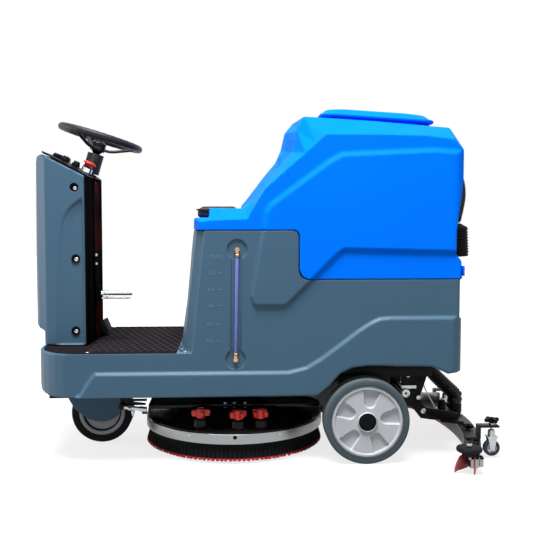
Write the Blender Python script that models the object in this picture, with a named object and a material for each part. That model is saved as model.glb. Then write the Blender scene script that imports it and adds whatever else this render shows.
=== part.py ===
"""Ride-on scrubber dryer: one disc brush, two rotomoulded tanks, rear squeegee. Metres, +Z up, front at -X."""
import math

import bmesh
import bpy
import numpy as np
from mathutils import Matrix, Vector

for old in list(bpy.data.objects):
    bpy.data.objects.remove(old, do_unlink=True)

CENTRE_X = 0.00675
HALF_W = 0.300
STEP = 0.009
SLOPE_OUT = 0.008
SLOPE_IN = 0.007
WALL = 0.006
FRONT_X = -0.685
REAR_X = 0.583
FLOOR_Z = 0.205
DECKTOP_Z = 0.333
SEAM_FRONT_Z = 0.690
SEAM_REAR_Z = 0.547
SEAM_STEP_X = 0.0915
SEAM = 0.0015
BAY = (-0.196, 0.400, 0.200, 0.345)
HINGE = (0.5925, 0.0, 0.5475)
WHEEL_R = 0.127
WHEEL_X = 0.295
WHEEL_Y0 = 0.232
WHEEL_Y1 = 0.305
FWHEEL_X = -0.5245
FWHEEL_R = 0.098
DECK_X = -0.095
DECK_R = 0.2865
DECK_LIFT = 0.035
STEER_TILT = math.radians(16.6)
STEER_C = (-0.523, 0.0, 0.985)
SHROUD_HW = 0.150
PANEL_X = -0.547
DASH_A = (-0.677, 0.9250)
DASH_B = (-0.5475, 0.8620)
ARC_R = 1.040
ARC_CX = -0.385
SQ_HALF = 0.4185
SWING_X = 0.600
ARM_PIVOT = (0.462, 0.0, 0.150)
CASTER_X = 0.684
CASTER_Y = 0.252
CASTER_R = 0.025
LID_HINGE = (0.170, 0.0, 1.0445)


def material(name, colour, rough=0.5, metal=0.0):
    mat = bpy.data.materials.new(name)
    mat.use_nodes = True
    node = mat.node_tree.nodes["Principled BSDF"]
    node.inputs["Base Color"].default_value = (*colour, 1.0)
    node.inputs["Roughness"].default_value = rough
    node.inputs["Metallic"].default_value = metal
    mat.diffuse_color = (*colour, 1.0)
    return mat


def ob_from(bm, name="tmp"):
    bmesh.ops.recalc_face_normals(bm, faces=bm.faces)
    mesh = bpy.data.meshes.new(name)
    bm.to_mesh(mesh)
    bm.free()
    ob = bpy.data.objects.new(name, mesh)
    bpy.context.collection.objects.link(ob)
    return ob


def loft(rings, closed_ends=True, loop=False):
    """Closed rings of equal length joined into one skin."""
    bm = bmesh.new()
    rows = [[bm.verts.new(p) for p in ring] for ring in rings]
    n = len(rows[0])
    pairs = list(zip(rows, rows[1:]))
    if loop:
        pairs.append((rows[-1], rows[0]))
    for a, b in pairs:
        for i in range(n):
            j = (i + 1) % n
            bm.faces.new((a[i], a[j], b[j], b[i]))
    if closed_ends and not loop:
        bm.faces.new(list(reversed(rows[0])))
        bm.faces.new(rows[-1])
    return ob_from(bm)


def prism_y(profile, y0, y1):
    """Side profile in X, Z pushed along Y."""
    return loft([[(x, y0, z) for x, z in profile], [(x, y1, z) for x, z in profile]])


def prism_z(outline, z0, z1):
    """Plan outline in X, Y pushed along Z."""
    return loft([[(x, y, z0) for x, y in outline], [(x, y, z1) for x, y in outline]])


def prism_x(outline, x0, x1):
    """Cross-section in Y, Z pushed along X."""
    return loft([[(x0, y, z) for y, z in outline], [(x1, y, z) for y, z in outline]])


def box(x0, x1, y0, y1, z0, z1):
    return prism_z([(x0, y0), (x1, y0), (x1, y1), (x0, y1)], z0, z1)


def frame_of(axis):
    a = Vector(axis).normalized()
    ref = Vector((0, 0, 1)) if abs(a.z) < 0.9 else Vector((1, 0, 0))
    u = a.cross(ref).normalized()
    return u, a.cross(u).normalized(), a


def lathe(profile, centre, axis, seg=24, ring=False):
    """Profile of (radius, height) turned about axis; ring=True for a closed section off the axis."""
    u, v, a = frame_of(axis)
    c = Vector(centre)
    angles = [2 * math.pi * k / seg for k in range(seg)]
    if ring:
        rows = [[c + a * h + (u * math.cos(t) + v * math.sin(t)) * r for r, h in profile] for t in angles]
        return loft(rows, loop=True)
    rows = [[c + a * h + (u * math.cos(t) + v * math.sin(t)) * r for t in angles] for r, h in profile]
    return loft(rows)


def rod(p0, p1, r, seg=14):
    d = Vector(p1) - Vector(p0)
    return lathe([(r, 0.0), (r, d.length)], p0, d, seg)


def tube(p0, p1, r, wall, seg=24):
    d = Vector(p1) - Vector(p0)
    return lathe([(r, 0.0), (r, d.length), (r - wall, d.length), (r - wall, 0.0)], p0, d, seg, ring=True)


def smooth_path(points, n):
    """Evenly spread points on a Catmull-Rom curve through the given points."""
    pts = np.array(points, float)
    ext = np.vstack([2 * pts[0] - pts[1], pts, 2 * pts[-1] - pts[-2]])
    dense = []
    for i in range(1, len(ext) - 2):
        for t in np.linspace(0, 1, 24, endpoint=False):
            p0, p1, p2, p3 = ext[i - 1], ext[i], ext[i + 1], ext[i + 2]
            dense.append(0.5 * (2 * p1 + (p2 - p0) * t + (2 * p0 - 5 * p1 + 4 * p2 - p3) * t * t
                                + (3 * p1 - p0 - 3 * p2 + p3) * t ** 3))
    dense.append(pts[-1])
    dense = np.array(dense)
    seg = np.linalg.norm(np.diff(dense, axis=0), axis=1)
    s = np.concatenate([[0], np.cumsum(seg)])
    at = np.linspace(0, s[-1], n)
    return [Vector([float(np.interp(v, s, dense[:, k])) for k in range(3)]) for v in at]


def sweep(points, section, n=None, scale=None):
    """Section of (u, v) carried along a smooth path; a list of lists gives a hollow section."""
    path = smooth_path(points, n) if n else [Vector(p) for p in points]
    up = Vector((0, 1, 0))
    rings = []
    for i, p in enumerate(path):
        a = path[max(i - 1, 0)]
        b = path[min(i + 1, len(path) - 1)]
        t = (b - a).normalized()
        side = t.cross(up)
        if side.length < 0.2:
            side = t.cross(Vector((1, 0, 0)))
        side.normalize()
        up = side.cross(t).normalized()
        k = scale[i] if scale else 1.0
        rings.append([p + side * (x * k) + up * (y * k) for x, y in section])
    return loft(rings)


def circle(r, seg=20):
    return [(r * math.cos(2 * math.pi * k / seg), r * math.sin(2 * math.pi * k / seg)) for k in range(seg)]


def fillet(points, radii, seg=5):
    """Round the corners of a plan or side outline."""
    out = []
    n = len(points)
    for i, p in enumerate(points):
        r = radii[i] if isinstance(radii, (list, tuple)) else radii
        if r <= 0:
            out.append(tuple(p))
            continue
        p = Vector(p)
        a = (Vector(points[i - 1]) - p).normalized()
        b = (Vector(points[(i + 1) % n]) - p).normalized()
        half = math.acos(max(-1.0, min(1.0, a.dot(b)))) / 2
        if half > 1.5:
            out.append(tuple(p))
            continue
        d = r / math.tan(half)
        centre = p + (a + b).normalized() * (r / math.sin(half))
        s = p + a * d - centre
        e = p + b * d - centre
        sweep_angle = math.pi - 2 * half
        sign = 1.0 if s.x * e.y - s.y * e.x > 0 else -1.0
        for k in range(seg + 1):
            t = sign * sweep_angle * k / seg
            out.append((centre.x + s.x * math.cos(t) - s.y * math.sin(t),
                        centre.y + s.x * math.sin(t) + s.y * math.cos(t)))
    return out


def inset(points, d):
    """Outline moved inwards by d with mitred corners."""
    area = sum(a[0] * b[1] - b[0] * a[1] for a, b in zip(points, points[1:] + points[:1]))
    s = 1.0 if area > 0 else -1.0
    out = []
    n = len(points)
    for i in range(n):
        p = Vector(points[i])
        e0 = (p - Vector(points[i - 1])).normalized()
        e1 = (Vector(points[(i + 1) % n]) - p).normalized()
        n0 = Vector((-e0.y, e0.x)) * s
        n1 = Vector((-e1.y, e1.x)) * s
        m = n0 + n1
        m = m / max(m.dot(n0), 0.35)
        out.append(tuple(p + m * d))
    return out


def combine(ob, others, op="UNION"):
    for other in others:
        bpy.context.view_layer.update()
        mod = ob.modifiers.new("b", "BOOLEAN")
        mod.operation = op
        mod.solver = "EXACT"
        mod.object = other
        graph = bpy.context.evaluated_depsgraph_get()
        mesh = bpy.data.meshes.new_from_object(ob.evaluated_get(graph))
        ob.modifiers.clear()
        ob.data = mesh
        bpy.data.objects.remove(other, do_unlink=True)
    return ob


def cut(ob, *others):
    return combine(ob, others, "DIFFERENCE")


def join(ob, *others):
    return combine(ob, others, "UNION")


def keep(ob, other):
    return combine(ob, [other], "INTERSECT")


def node(name, ob, mat, origin=(0.0, 0.0, 0.0)):
    ob.name = name
    ob.data.name = name
    o = Vector(origin)
    ob.data.transform(Matrix.Translation(-o))
    ob.location = o + Vector((CENTRE_X, 0.0, 0.0))
    ob.data.materials.clear()
    ob.data.materials.append(mat)
    for poly in ob.data.polygons:
        poly.material_index = 0
    return ob


GREY = material("grey_polyethylene", (0.075, 0.125, 0.17), 0.45)
BLUE = material("blue_polyethylene", (0.0, 0.16, 0.86), 0.42)
BLACK = material("black_plastic", (0.012, 0.012, 0.014), 0.45)
STEEL = material("black_painted_steel", (0.02, 0.02, 0.022), 0.4, 0.3)
CHROME = material("bright_steel", (0.75, 0.75, 0.76), 0.15, 1.0)
ALUM = material("aluminium_strip", (0.72, 0.73, 0.75), 0.3, 1.0)
RUBBER = material("black_rubber", (0.015, 0.014, 0.014), 0.8)
TYRE = material("grey_tyre", (0.07, 0.095, 0.11), 0.75)
HUB = material("silver_plastic", (0.42, 0.43, 0.45), 0.38)
RED = material("red_plastic", (0.65, 0.02, 0.015), 0.35)
BLADE = material("red_polyurethane", (0.62, 0.05, 0.04), 0.5)
BRASS = material("brass", (0.72, 0.45, 0.18), 0.3, 1.0)
CLEAR = material("clear_tube", (0.62, 0.66, 0.9), 0.1)
BRISTLE = material("bristle_nylon", (0.012, 0.012, 0.012), 0.85)
VINYL = material("black_vinyl", (0.012, 0.012, 0.013), 0.55)
NAVY = material("navy_rubber", (0.02, 0.025, 0.06), 0.6)


def plan_outline(half, x0, x1, r_front, r_rear, seg=8):
    pts = [(x0, -half), (x1, -half), (x1, half), (x0, half)]
    return fillet(pts, [r_front, r_rear, r_rear, r_front], seg)


def body_profile(skirt=True):
    low = [(-0.672, 0.214), (-0.640, FLOOR_Z), (0.149, FLOOR_Z), (0.185, 0.235), (0.215, 0.270), (0.250, 0.287),
           (0.300, 0.293), (0.490, 0.288), (0.535, 0.266), (REAR_X - 0.006, 0.272)]
    if skirt:
        band = [(REAR_X, 0.300), (REAR_X, 0.424), (REAR_X - 0.012, 0.434), (0.360, 0.434), (0.330, 0.431),
                (0.306, 0.420), (0.270, 0.397), (0.160, 0.315), (0.115, 0.288), (0.062, 0.275), (-0.500, 0.275),
                (-0.512, 0.262), (-0.545, FLOOR_Z + 0.006), (-0.560, FLOOR_Z)]
        return low[2:] + band
    return low


def raised(profile, clip):
    """Field standing STEP proud of both sides, its outline sloping down to the wall, cut off at clip."""
    low, high = inset(profile, -SLOPE_OUT), inset(profile, SLOPE_IN)
    rings = [(-HALF_W, high), (STEP - HALF_W, low), (HALF_W - STEP, low), (HALF_W, high)]
    field = loft([[(x, y, z) for x, z in outline] for y, outline in rings])
    return keep(field, prism_y(clip, -HALF_W - 0.01, HALF_W + 0.01))


def solution_tank():
    top = [(0.571, 0.430), (0.571, SEAM_REAR_Z), (0.118, SEAM_REAR_Z), (0.099, 0.554), (SEAM_STEP_X, 0.573),
           (SEAM_STEP_X, 0.674), (0.0865, 0.686), (0.0745, SEAM_FRONT_Z), (-0.2215, SEAM_FRONT_Z),
           (-0.2295, 0.583), (-0.239, 0.475), (-0.253, 0.390), (-0.2645, DECKTOP_Z), (FRONT_X, DECKTOP_Z),
           (FRONT_X, 0.232)]
    side = body_profile(False)[:-1] + [(0.571, 0.272)] + top
    body = prism_y(side, -HALF_W + STEP, HALF_W - STEP)
    whole = body_profile(False)[:-1] + [(REAR_X, 0.272), (REAR_X, 0.430)] + top
    belt = [(-0.0405, 0.478), (-0.032, 0.472), (0.048, 0.472), (0.060, 0.478), (0.1600, 0.5765), (0.1600, 0.7200),
            (-0.0066, 0.7200), (-0.046, 0.500)]
    join(body, raised(body_profile(True), whole), raised(belt, whole))
    keep(body, prism_z(plan_outline(HALF_W, FRONT_X, REAR_X, 0.150, 0.045), 0.1, 0.8))
    front_bow = [(-0.300, -0.31), (-0.300, 0.31), (-0.205, 0.31), (-0.222, 0.288), (-0.246, 0.235), (-0.258, 0.14),
                 (-0.262, 0.0), (-0.258, -0.14), (-0.246, -0.235), (-0.222, -0.288), (-0.205, -0.31)]
    lean = [[(x, y, DECKTOP_Z + 0.0002) for x, y in front_bow],
            [(x + 0.040, y, 0.70) for x, y in front_bow]]
    cut(body, loft(lean))
    pocket = prism_z(plan_outline(HALF_W - 0.012, FRONT_X + 0.008, -0.2655, 0.142, 0.0), DECKTOP_Z - 0.004, 0.36)
    cut(body, pocket)
    bx0, bx1, by, bz = BAY
    cut(body, box(bx0, bx1, -by, by, bz, 0.8))
    cut(body, lathe([(0.118, 0.1), (0.118, bz - 0.018)], (DECK_X, 0, 0), (0, 0, 1), 40))
    cut(body, box(-0.662, -0.388, -0.145, 0.145, 0.1, 0.302))
    inner = inset(side, WALL + STEP * 0.3)
    water = prism_y(inner, -HALF_W + STEP + WALL + 0.004, HALF_W - STEP - WALL - 0.004)
    keep(water, prism_z(plan_outline(HALF_W - STEP - WALL, FRONT_X + WALL, REAR_X - 0.02, 0.144, 0.045), 0.1, 0.8))
    keep(water, join(box(-0.70, -0.205, -0.4, 0.4, 0.1, DECKTOP_Z - 0.009), box(-0.21, 0.7, -0.4, 0.4, 0.1, 0.8)))
    cut(water, loft([[(x + WALL + 0.002, y, z) for x, y, z in ring] for ring in lean]))
    cut(water, box(bx0 - WALL, bx1 + WALL, -by - WALL, by + WALL, bz - WALL, 0.8))
    cut(water, lathe([(0.118 + WALL, 0.1), (0.118 + WALL, 0.36)], (DECK_X, 0, 0), (0, 0, 1), 40))
    cut(water, box(-0.668, -0.382, -0.151, 0.151, 0.1, 0.308))
    cut(water, rod((0.538, 0.030, 0.20), (0.538, 0.030, 0.60), 0.0280, 18))
    cut(body, water)
    cut(body, lathe([(0.030, 0.50), (0.030, 0.56)], (0.485, -0.150, 0), (0, 0, 1), 28))
    face = -HALF_W + STEP
    for x, z in ((-0.0875, 0.636), (-0.0925, 0.3145)):
        cut(body, lathe([(0.0295, 0.0), (0.0295, 0.020)], (x, face + 0.0048, z), (0, -1, 0), 20))
    cut(body, prism_y([(-0.1035, 0.628), (-0.0725, 0.628), (-0.077, 0.324), (-0.108, 0.324)], face - 0.02,
                      face + 0.0042))
    cut(body, rod((0.538, 0.030, 0.20), (0.538, 0.030, 0.60), 0.0220, 18))
    return body


def tank_sections():
    """Crease (outer side edge), ridge and centre lines of the recovery tank's top, as X, Z pairs."""
    crease = [(-0.2185, 0.700), (-0.198, 0.716), (-0.155, 0.722), (-0.058, 0.725), (-0.033, 0.770), (-0.007, 0.812),
              (0.050, 0.863), (0.110, 0.916), (0.141, 0.943), (0.171, 0.969), (0.330, 0.9695), (0.456, 0.968),
              (0.548, 0.957)]
    ridge = [(-0.2160, 0.728), (-0.205, 0.742), (-0.168, 0.757), (-0.0665, 0.756), (-0.0375, 0.776), (0.0025, 0.827),
             (0.0435, 0.880), (0.0805, 0.923), (0.0935, 0.988), (0.1135, 1.031), (0.330, 1.018), (0.456, 1.008),
             (0.5560, 1.000)]
    centre = [(-0.2190, 0.730), (-0.208, 0.744), (-0.170, 0.759), (-0.0720, 0.766), (-0.0520, 0.790), (0.0025, 0.862),
              (0.0395, 0.906), (0.0570, 0.945), (0.0700, 1.002), (0.0980, 1.0360), (0.330, 1.026), (0.456, 1.016), (0.5620, 1.006)]
    return crease, ridge, centre


def tank_side():
    """Side outline of the recovery tank in three runs: crease, rear face and seam."""
    crease = tank_sections()[0]
    rear = [(0.578, 0.925), (0.578, 0.840), (0.556, 0.690), (0.556, 0.622), (0.5745, 0.600)]
    seam = [(0.5755, SEAM_REAR_Z + SEAM), (0.120, SEAM_REAR_Z + SEAM), (0.102, 0.5565), (0.0935, 0.575),
            (0.0935, 0.6755), (0.088, 0.688), (0.076, SEAM_FRONT_Z + SEAM), (-0.2215, SEAM_FRONT_Z + SEAM)]
    return crease, rear, seam


def tank_shell():
    """Closed outer skin of the recovery tank."""
    crease, ridge, centre = tank_sections()
    _, rear, seam = tank_side()
    low = rear + seam
    rings = []
    for y, top in ((-HALF_W + STEP, crease), (-0.205, ridge), (0.0, centre), (0.205, ridge),
                   (HALF_W - STEP, crease)):
        rings.append([(x, y, z) for x, z in top + low])
    return loft(rings)


def recovery_tank():
    body = tank_shell()
    crease, rear, seam = tank_side()
    belt = [(0.0900, 0.5050), (0.205, 0.620), (0.225, 0.634), (0.5900, 0.6252), (0.6100, 0.9150), (0.487, 0.924),
            (0.218, 0.911), (0.178, 0.889), (0.010, 0.765), (-0.004, 0.745), (-0.0145, 0.6650), (0.0600, 0.6650),
            (0.0600, 0.5050)]
    join(body, raised(belt, crease + rear + seam))
    rear_plan = plan_outline(HALF_W, -0.30, 0.588, 0.0, 0.045)
    keep(body, prism_z(rear_plan, 0.5, 1.2))
    bow = [(-0.300, -0.31), (-0.300, 0.31), (-0.183, 0.31), (-0.197, 0.288), (-0.211, 0.235), (-0.219, 0.14),
           (-0.2215, 0.0), (-0.219, -0.14), (-0.211, -0.235), (-0.197, -0.288), (-0.183, -0.31)]
    cut(body, prism_z(bow, 0.5, 0.9))
    cut(body, box(-0.30, -0.0715, -0.1945, 0.1945, 0.7275, 0.90))
    cut(body, box(-0.30, -0.1690, -0.31, 0.31, 0.7285, 0.90))
    low_room = [(-0.190, 0.699), (-0.190, 0.7195), (-0.012, 0.7195), (-0.012, 0.790), (0.055, 0.855), (0.115, 0.907),
                (0.175, 0.958), (0.455, 0.957), (0.540, 0.945), (0.565, 0.915), (0.568, 0.840), (0.547, 0.690),
                (0.547, 0.622), (0.560, 0.600), (0.560, 0.558), (0.125, 0.558), (0.108, 0.566), (0.103, 0.580),
                (0.103, 0.680), (0.095, 0.695), (0.078, 0.699)]
    high_room = [(0.020, 0.830), (0.0555, 0.880), (0.0925, 0.920), (0.122, 1.018), (0.330, 1.006), (0.456, 0.996),
                 (0.548, 0.988), (0.548, 0.930), (0.300, 0.930), (0.100, 0.860)]
    inner = prism_y(low_room, -0.282, 0.282)
    join(inner, prism_y(high_room, -0.195, 0.195))
    cut(body, inner)
    neck = prism_y([(0.195, 1.0161), (0.500, 0.9994), (0.500, 1.0217), (0.195, 1.0400)], -0.135, 0.135)
    join(body, keep(neck, prism_z(plan_outline(0.135, 0.195, 0.500, 0.040, 0.040, 5), 0.9, 1.1)))
    cut(body, prism_z(fillet([(0.215, -0.115), (0.475, -0.115), (0.475, 0.115), (0.215, 0.115)], 0.04), 0.95, 1.2))
    cut(body, rod((0.538, 0.030, 0.52), (0.538, 0.030, 0.60), 0.0190))
    cut(body, rod((0.540, -0.135, 0.8720), (0.60, -0.135, 0.8720), 0.0090))
    return body


def tank_lid():
    x0, x1, hw = 0.173, 0.532, 0.150
    rings = []
    for inset_by, lift in ((0.0, 0.0), (0.0, 0.009), (0.008, 0.0115), (0.020, 0.0230), (0.045, 0.0285)):
        outline = plan_outline(hw - inset_by, x0 + inset_by, x1 - inset_by * 1.2, 0.045, 0.045, 6)
        rings.append([(x, y, 1.0430 - (x - 0.17) * 0.060 + lift + 0.003 * (1 - abs(y) / hw)) for x, y in outline])
    lid = loft(rings)
    under = plan_outline(hw - 0.03, x0 + 0.03, x1 - 0.03, 0.03, 0.03, 6)
    hollow = [[(x, y, 1.03 - (x - 0.17) * 0.060) for x, y in under],
              [(x, y, 1.0505 - (x - 0.17) * 0.060) for x, y in inset(under, 0.002)]]
    cut(lid, loft(hollow))
    return lid


def seat_cushion():
    rings = []
    for inset_by, z in ((0.006, 0.7278), (0.0, 0.732), (0.0, 0.749), (0.006, 0.758), (0.020, 0.763)):
        outline = fillet([(-0.2120 + inset_by, -0.1935 + inset_by), (-0.0745 - inset_by, -0.1935 + inset_by),
                          (-0.0745 - inset_by, 0.1935 - inset_by), (-0.2120 + inset_by, 0.1935 - inset_by)],
                         0.022, 4)
        rings.append([(x, y, z) for x, y in outline])
    return loft(rings)


def front_shroud():
    side = [(-0.7225, 0.394), (-0.680, 0.380), (-0.680, DECKTOP_Z + 0.0045), (PANEL_X - 0.0035, DECKTOP_Z + 0.0045),
            (PANEL_X - 0.0035, 0.856), (-0.684, 0.9235), (-0.702, 0.916), (-0.7080, 0.900)]
    shell = prism_y(side, -SHROUD_HW, SHROUD_HW)
    nose = [(-0.560, -SHROUD_HW), (-0.640, -SHROUD_HW + 0.004), (-0.672, -0.138), (-0.700, -0.112),
            (-0.716, -0.070), (-0.7225, -0.025), (-0.7225, 0.025), (-0.716, 0.070), (-0.700, 0.112),
            (-0.672, 0.138), (-0.640, SHROUD_HW - 0.004), (-0.560, SHROUD_HW), (-0.53, SHROUD_HW),
            (-0.53, -SHROUD_HW)]
    keep(shell, prism_z(nose, 0.3, 1.0))
    inner = prism_y([(-0.7165, 0.399), (-0.6745, 0.386), (-0.6745, 0.30), (-0.50, 0.30), (-0.50, 0.95), (-0.60, 0.95),
                     (-0.685, 0.912), (-0.7020, 0.893)], -SHROUD_HW + 0.005, SHROUD_HW - 0.005)
    keep(inner, prism_z(inset(nose[:-2] + [(-0.45, SHROUD_HW), (-0.45, -SHROUD_HW)], 0.005), 0.2, 1.0))
    cut(shell, inner)
    for z, x in ((0.8205, -0.581), (0.603, -0.580), (0.381, -0.583)):
        for s in (-1, 1):
            cut(shell, rod((x, s * (SHROUD_HW - 0.003), z), (x, s * (SHROUD_HW + 0.01), z), 0.0135, 14))
    return shell


def dash_plate():
    ax, az = DASH_A
    bx, bz = DASH_B
    t = 0.006
    side = [(ax - 0.002, az + 0.0010), (bx + 0.020, bz - 0.0097), (bx + 0.020, bz - 0.012), (bx + 0.0005, bz - 0.012),
            (bx + 0.0005, bz - 0.0105), (ax, az - t)]
    side = [(x, z + 0.0055) for x, z in side]
    plate = prism_y(side, -SHROUD_HW + 0.012, SHROUD_HW - 0.012)
    axis = Vector((math.sin(STEER_TILT), 0, math.cos(STEER_TILT)))
    c = Vector(STEER_C)
    cut(plate, rod(c - axis * 0.20, c - axis * 0.05, 0.0270, 24))
    p, n = on_dash(-0.5560)
    p.y = -0.0830
    collar = [(0.0165, -0.0020), (0.0165, 0.0180), (0.0132, 0.0180), (0.0132, 0.0060)]
    return join(plate, lathe(collar, p, n, 20))


def on_dash(x, lift=0.0):
    ax, az = DASH_A
    bx, bz = DASH_B
    t = (x - ax) / (bx - ax)
    n = Vector((az - bz, 0, bx - ax)).normalized()
    return Vector((x, 0, az + (bz - az) * t + 0.0055)) + n * lift, n


def steering():
    axis = Vector((math.sin(STEER_TILT), 0, math.cos(STEER_TILT)))
    c = Vector(STEER_C)
    wheel = lathe([(0.1255 + 0.0115 * math.cos(a), 0.0115 * math.sin(a))
                   for a in np.linspace(0, 2 * math.pi, 8, endpoint=False)], c, axis, 32, ring=True)
    fwd = Vector((math.cos(STEER_TILT), 0, -math.sin(STEER_TILT)))
    side = Vector((0, 1, 0))
    parts = []
    for ang in (0.0, 120.0, 240.0):
        a = math.radians(ang)
        d = fwd * math.cos(a) + side * math.sin(a)
        pts = [c - axis * 0.034, c - axis * 0.034 + d * 0.040, c - axis * 0.020 + d * 0.080, c - axis * 0.003 + d * 0.122]
        parts.append(sweep(pts, [(x * 1.0, y * 1.5) for x, y in circle(0.0055, 8)], 7))
    parts.append(lathe([(0.024, -0.044), (0.024, -0.018), (0.020, -0.012)], c, axis, 20))
    parts.append(lathe([(0.011, -0.150), (0.011, -0.030)], c, axis, 16))
    return join(wheel, *parts)


def column_sleeve():
    axis = Vector((math.sin(STEER_TILT), 0, math.cos(STEER_TILT)))
    c = Vector(STEER_C)
    return tube(c - axis * 0.118, c - axis * 0.0535, 0.0262, 0.010)


def front_fork():
    x = FWHEEL_X
    fork = box(x - 0.045, x + 0.045, -0.0505, 0.0505, 0.2550, 0.2615)
    for s in (-1, 1):
        y0, y1 = sorted((s * 0.0445, s * 0.0505))
        join(fork, prism_y([(x - 0.030, 0.256), (x + 0.030, 0.256), (x + 0.020, 0.098), (x + 0.008, 0.084),
                            (x - 0.008, 0.084), (x - 0.020, 0.098)], y0, y1))
    join(fork, rod((x, 0, 0.258), (x, 0, 0.3010), 0.0200, 18))
    join(fork, rod((x, -0.0520, FWHEEL_R), (x, 0.0520, FWHEEL_R), 0.0080, 14))
    return fork


def wheel_guard():
    x = FWHEEL_X
    lobe = [(-0.628, 0.175), (-0.625, 0.150), (-0.606, 0.116), (-0.563, 0.084), (-0.540, 0.0765), (-0.517, 0.075),
            (-0.493, 0.080), (-0.474, 0.090), (-0.456, 0.114), (-0.450, 0.151), (-0.450, 0.175), (-0.470, 0.240),
            (-0.480, 0.2680), (-0.569, 0.2680), (-0.590, 0.240)]
    guard = prism_y(lobe, -0.0620, -0.0570)
    join(guard, prism_y(lobe, 0.0570, 0.0620), box(-0.569, -0.480, -0.0600, 0.0600, 0.2620, 0.2680))
    cut(guard, rod((x, 0, 0.25), (x, 0, 0.28), 0.0212, 18))
    return guard


def tyre(centre, r_out, r_in, half_w, seg=36):
    prof = [(r_in, -half_w), (r_out * 0.972, -half_w), (r_out, -half_w * 0.72), (r_out, half_w * 0.72),
            (r_out * 0.972, half_w), (r_in, half_w)]
    return lathe(prof, centre, (0, 1, 0), seg, ring=True)


def rear_hub(s):
    """Moulded wheel centre: flat rim ring outside, shallow dish with five pockets, bore for the axle."""
    yc = s * (WHEEL_Y0 + WHEEL_Y1) / 2
    half = (WHEEL_Y1 - WHEEL_Y0) / 2
    c = (WHEEL_X, yc, WHEEL_R)
    out = (0, s, 0)
    hub = lathe([(0.0115, -half + 0.004), (0.106, -half + 0.004), (0.106, half - 0.001), (0.097, half - 0.001),
                 (0.093, half - 0.008), (0.034, half - 0.008), (0.030, half + 0.001), (0.0115, half + 0.001)],
                c, out, 36, ring=True)
    for k in range(5):
        a = math.radians(90 + 72 * k)
        ca, sa = math.cos(a), math.sin(a)
        pocket = fillet([(0.042, -0.010), (0.042, 0.010), (0.084, 0.024), (0.084, -0.024)], 0.006, 2)
        ring = [(WHEEL_X + r * ca - t * sa, WHEEL_R + r * sa + t * ca) for r, t in pocket]
        y0, y1 = sorted((yc + s * (half - 0.014), yc + s * (half + 0.01)))
        cut(hub, prism_y(ring, y0, y1))
    return hub


def front_hub():
    c = (FWHEEL_X, 0, FWHEEL_R)
    return lathe([(0.0090, -0.034), (0.024, -0.034), (0.026, -0.028), (0.066, -0.028), (0.068, -0.033),
                  (0.0745, -0.033), (0.0745, 0.033), (0.068, 0.033), (0.066, 0.028), (0.026, 0.028),
                  (0.024, 0.034), (0.0090, 0.034)], c, (0, 1, 0), 36, ring=True)


def deck_cover():
    z0 = 0.0890
    prof = [(0.020, z0), (0.2825, z0), (0.2825, z0 + 0.005), (0.250, z0 + 0.009), (0.215, z0 + 0.019),
            (0.180, 0.136), (0.020, 0.138)]
    cover = lathe(prof, (DECK_X, 0, 0), (0, 0, 1), 44, ring=True)
    for x, y in ((-0.198, -0.208), (-0.085, -0.232), (-0.018, -0.222)):
        join(cover, lathe([(0.022, 0.0905), (0.022, 0.1180), (0.016, 0.1215)], (x, y, 0), (0, 0, 1), 16))
    hollow = [(0.0150, z0 - 0.01), (0.218, z0 - 0.01), (0.206, z0 + 0.010), (0.174, 0.128), (0.0150, 0.130)]
    cut(cover, lathe(hollow, (DECK_X, 0, 0), (0, 0, 1), 40, ring=True))
    return cover


def star_knob(x, y):
    z0 = 0.1220
    outline = []
    for k in range(24):
        t = 2 * math.pi * k / 24
        r = 0.0215 + 0.0085 * math.cos(4 * t) - 0.0015 * math.cos(8 * t)
        outline.append((x + r * math.cos(t), y + r * math.sin(t)))
    wings = prism_z(outline, z0 + 0.008, z0 + 0.023)
    return join(wings, lathe([(0.013, z0), (0.013, z0 + 0.026), (0.010, z0 + 0.029)], (x, y, 0), (0, 0, 1), 12))


def arc_strip(r0, r1, z0, z1, half, n=17):
    """Curved bar following the squeegee's arc."""
    a = math.asin(half / ARC_R)
    angles = np.linspace(-a, a, n)
    outer = [(ARC_CX + r1 * math.cos(t), r1 * math.sin(t)) for t in angles]
    inner = [(ARC_CX + r0 * math.cos(t), r0 * math.sin(t)) for t in reversed(angles)]
    return prism_z(outer + inner, z0, z1)


def arc_x(y, r=ARC_R):
    return ARC_CX + math.sqrt(r * r - y * y)


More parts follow.
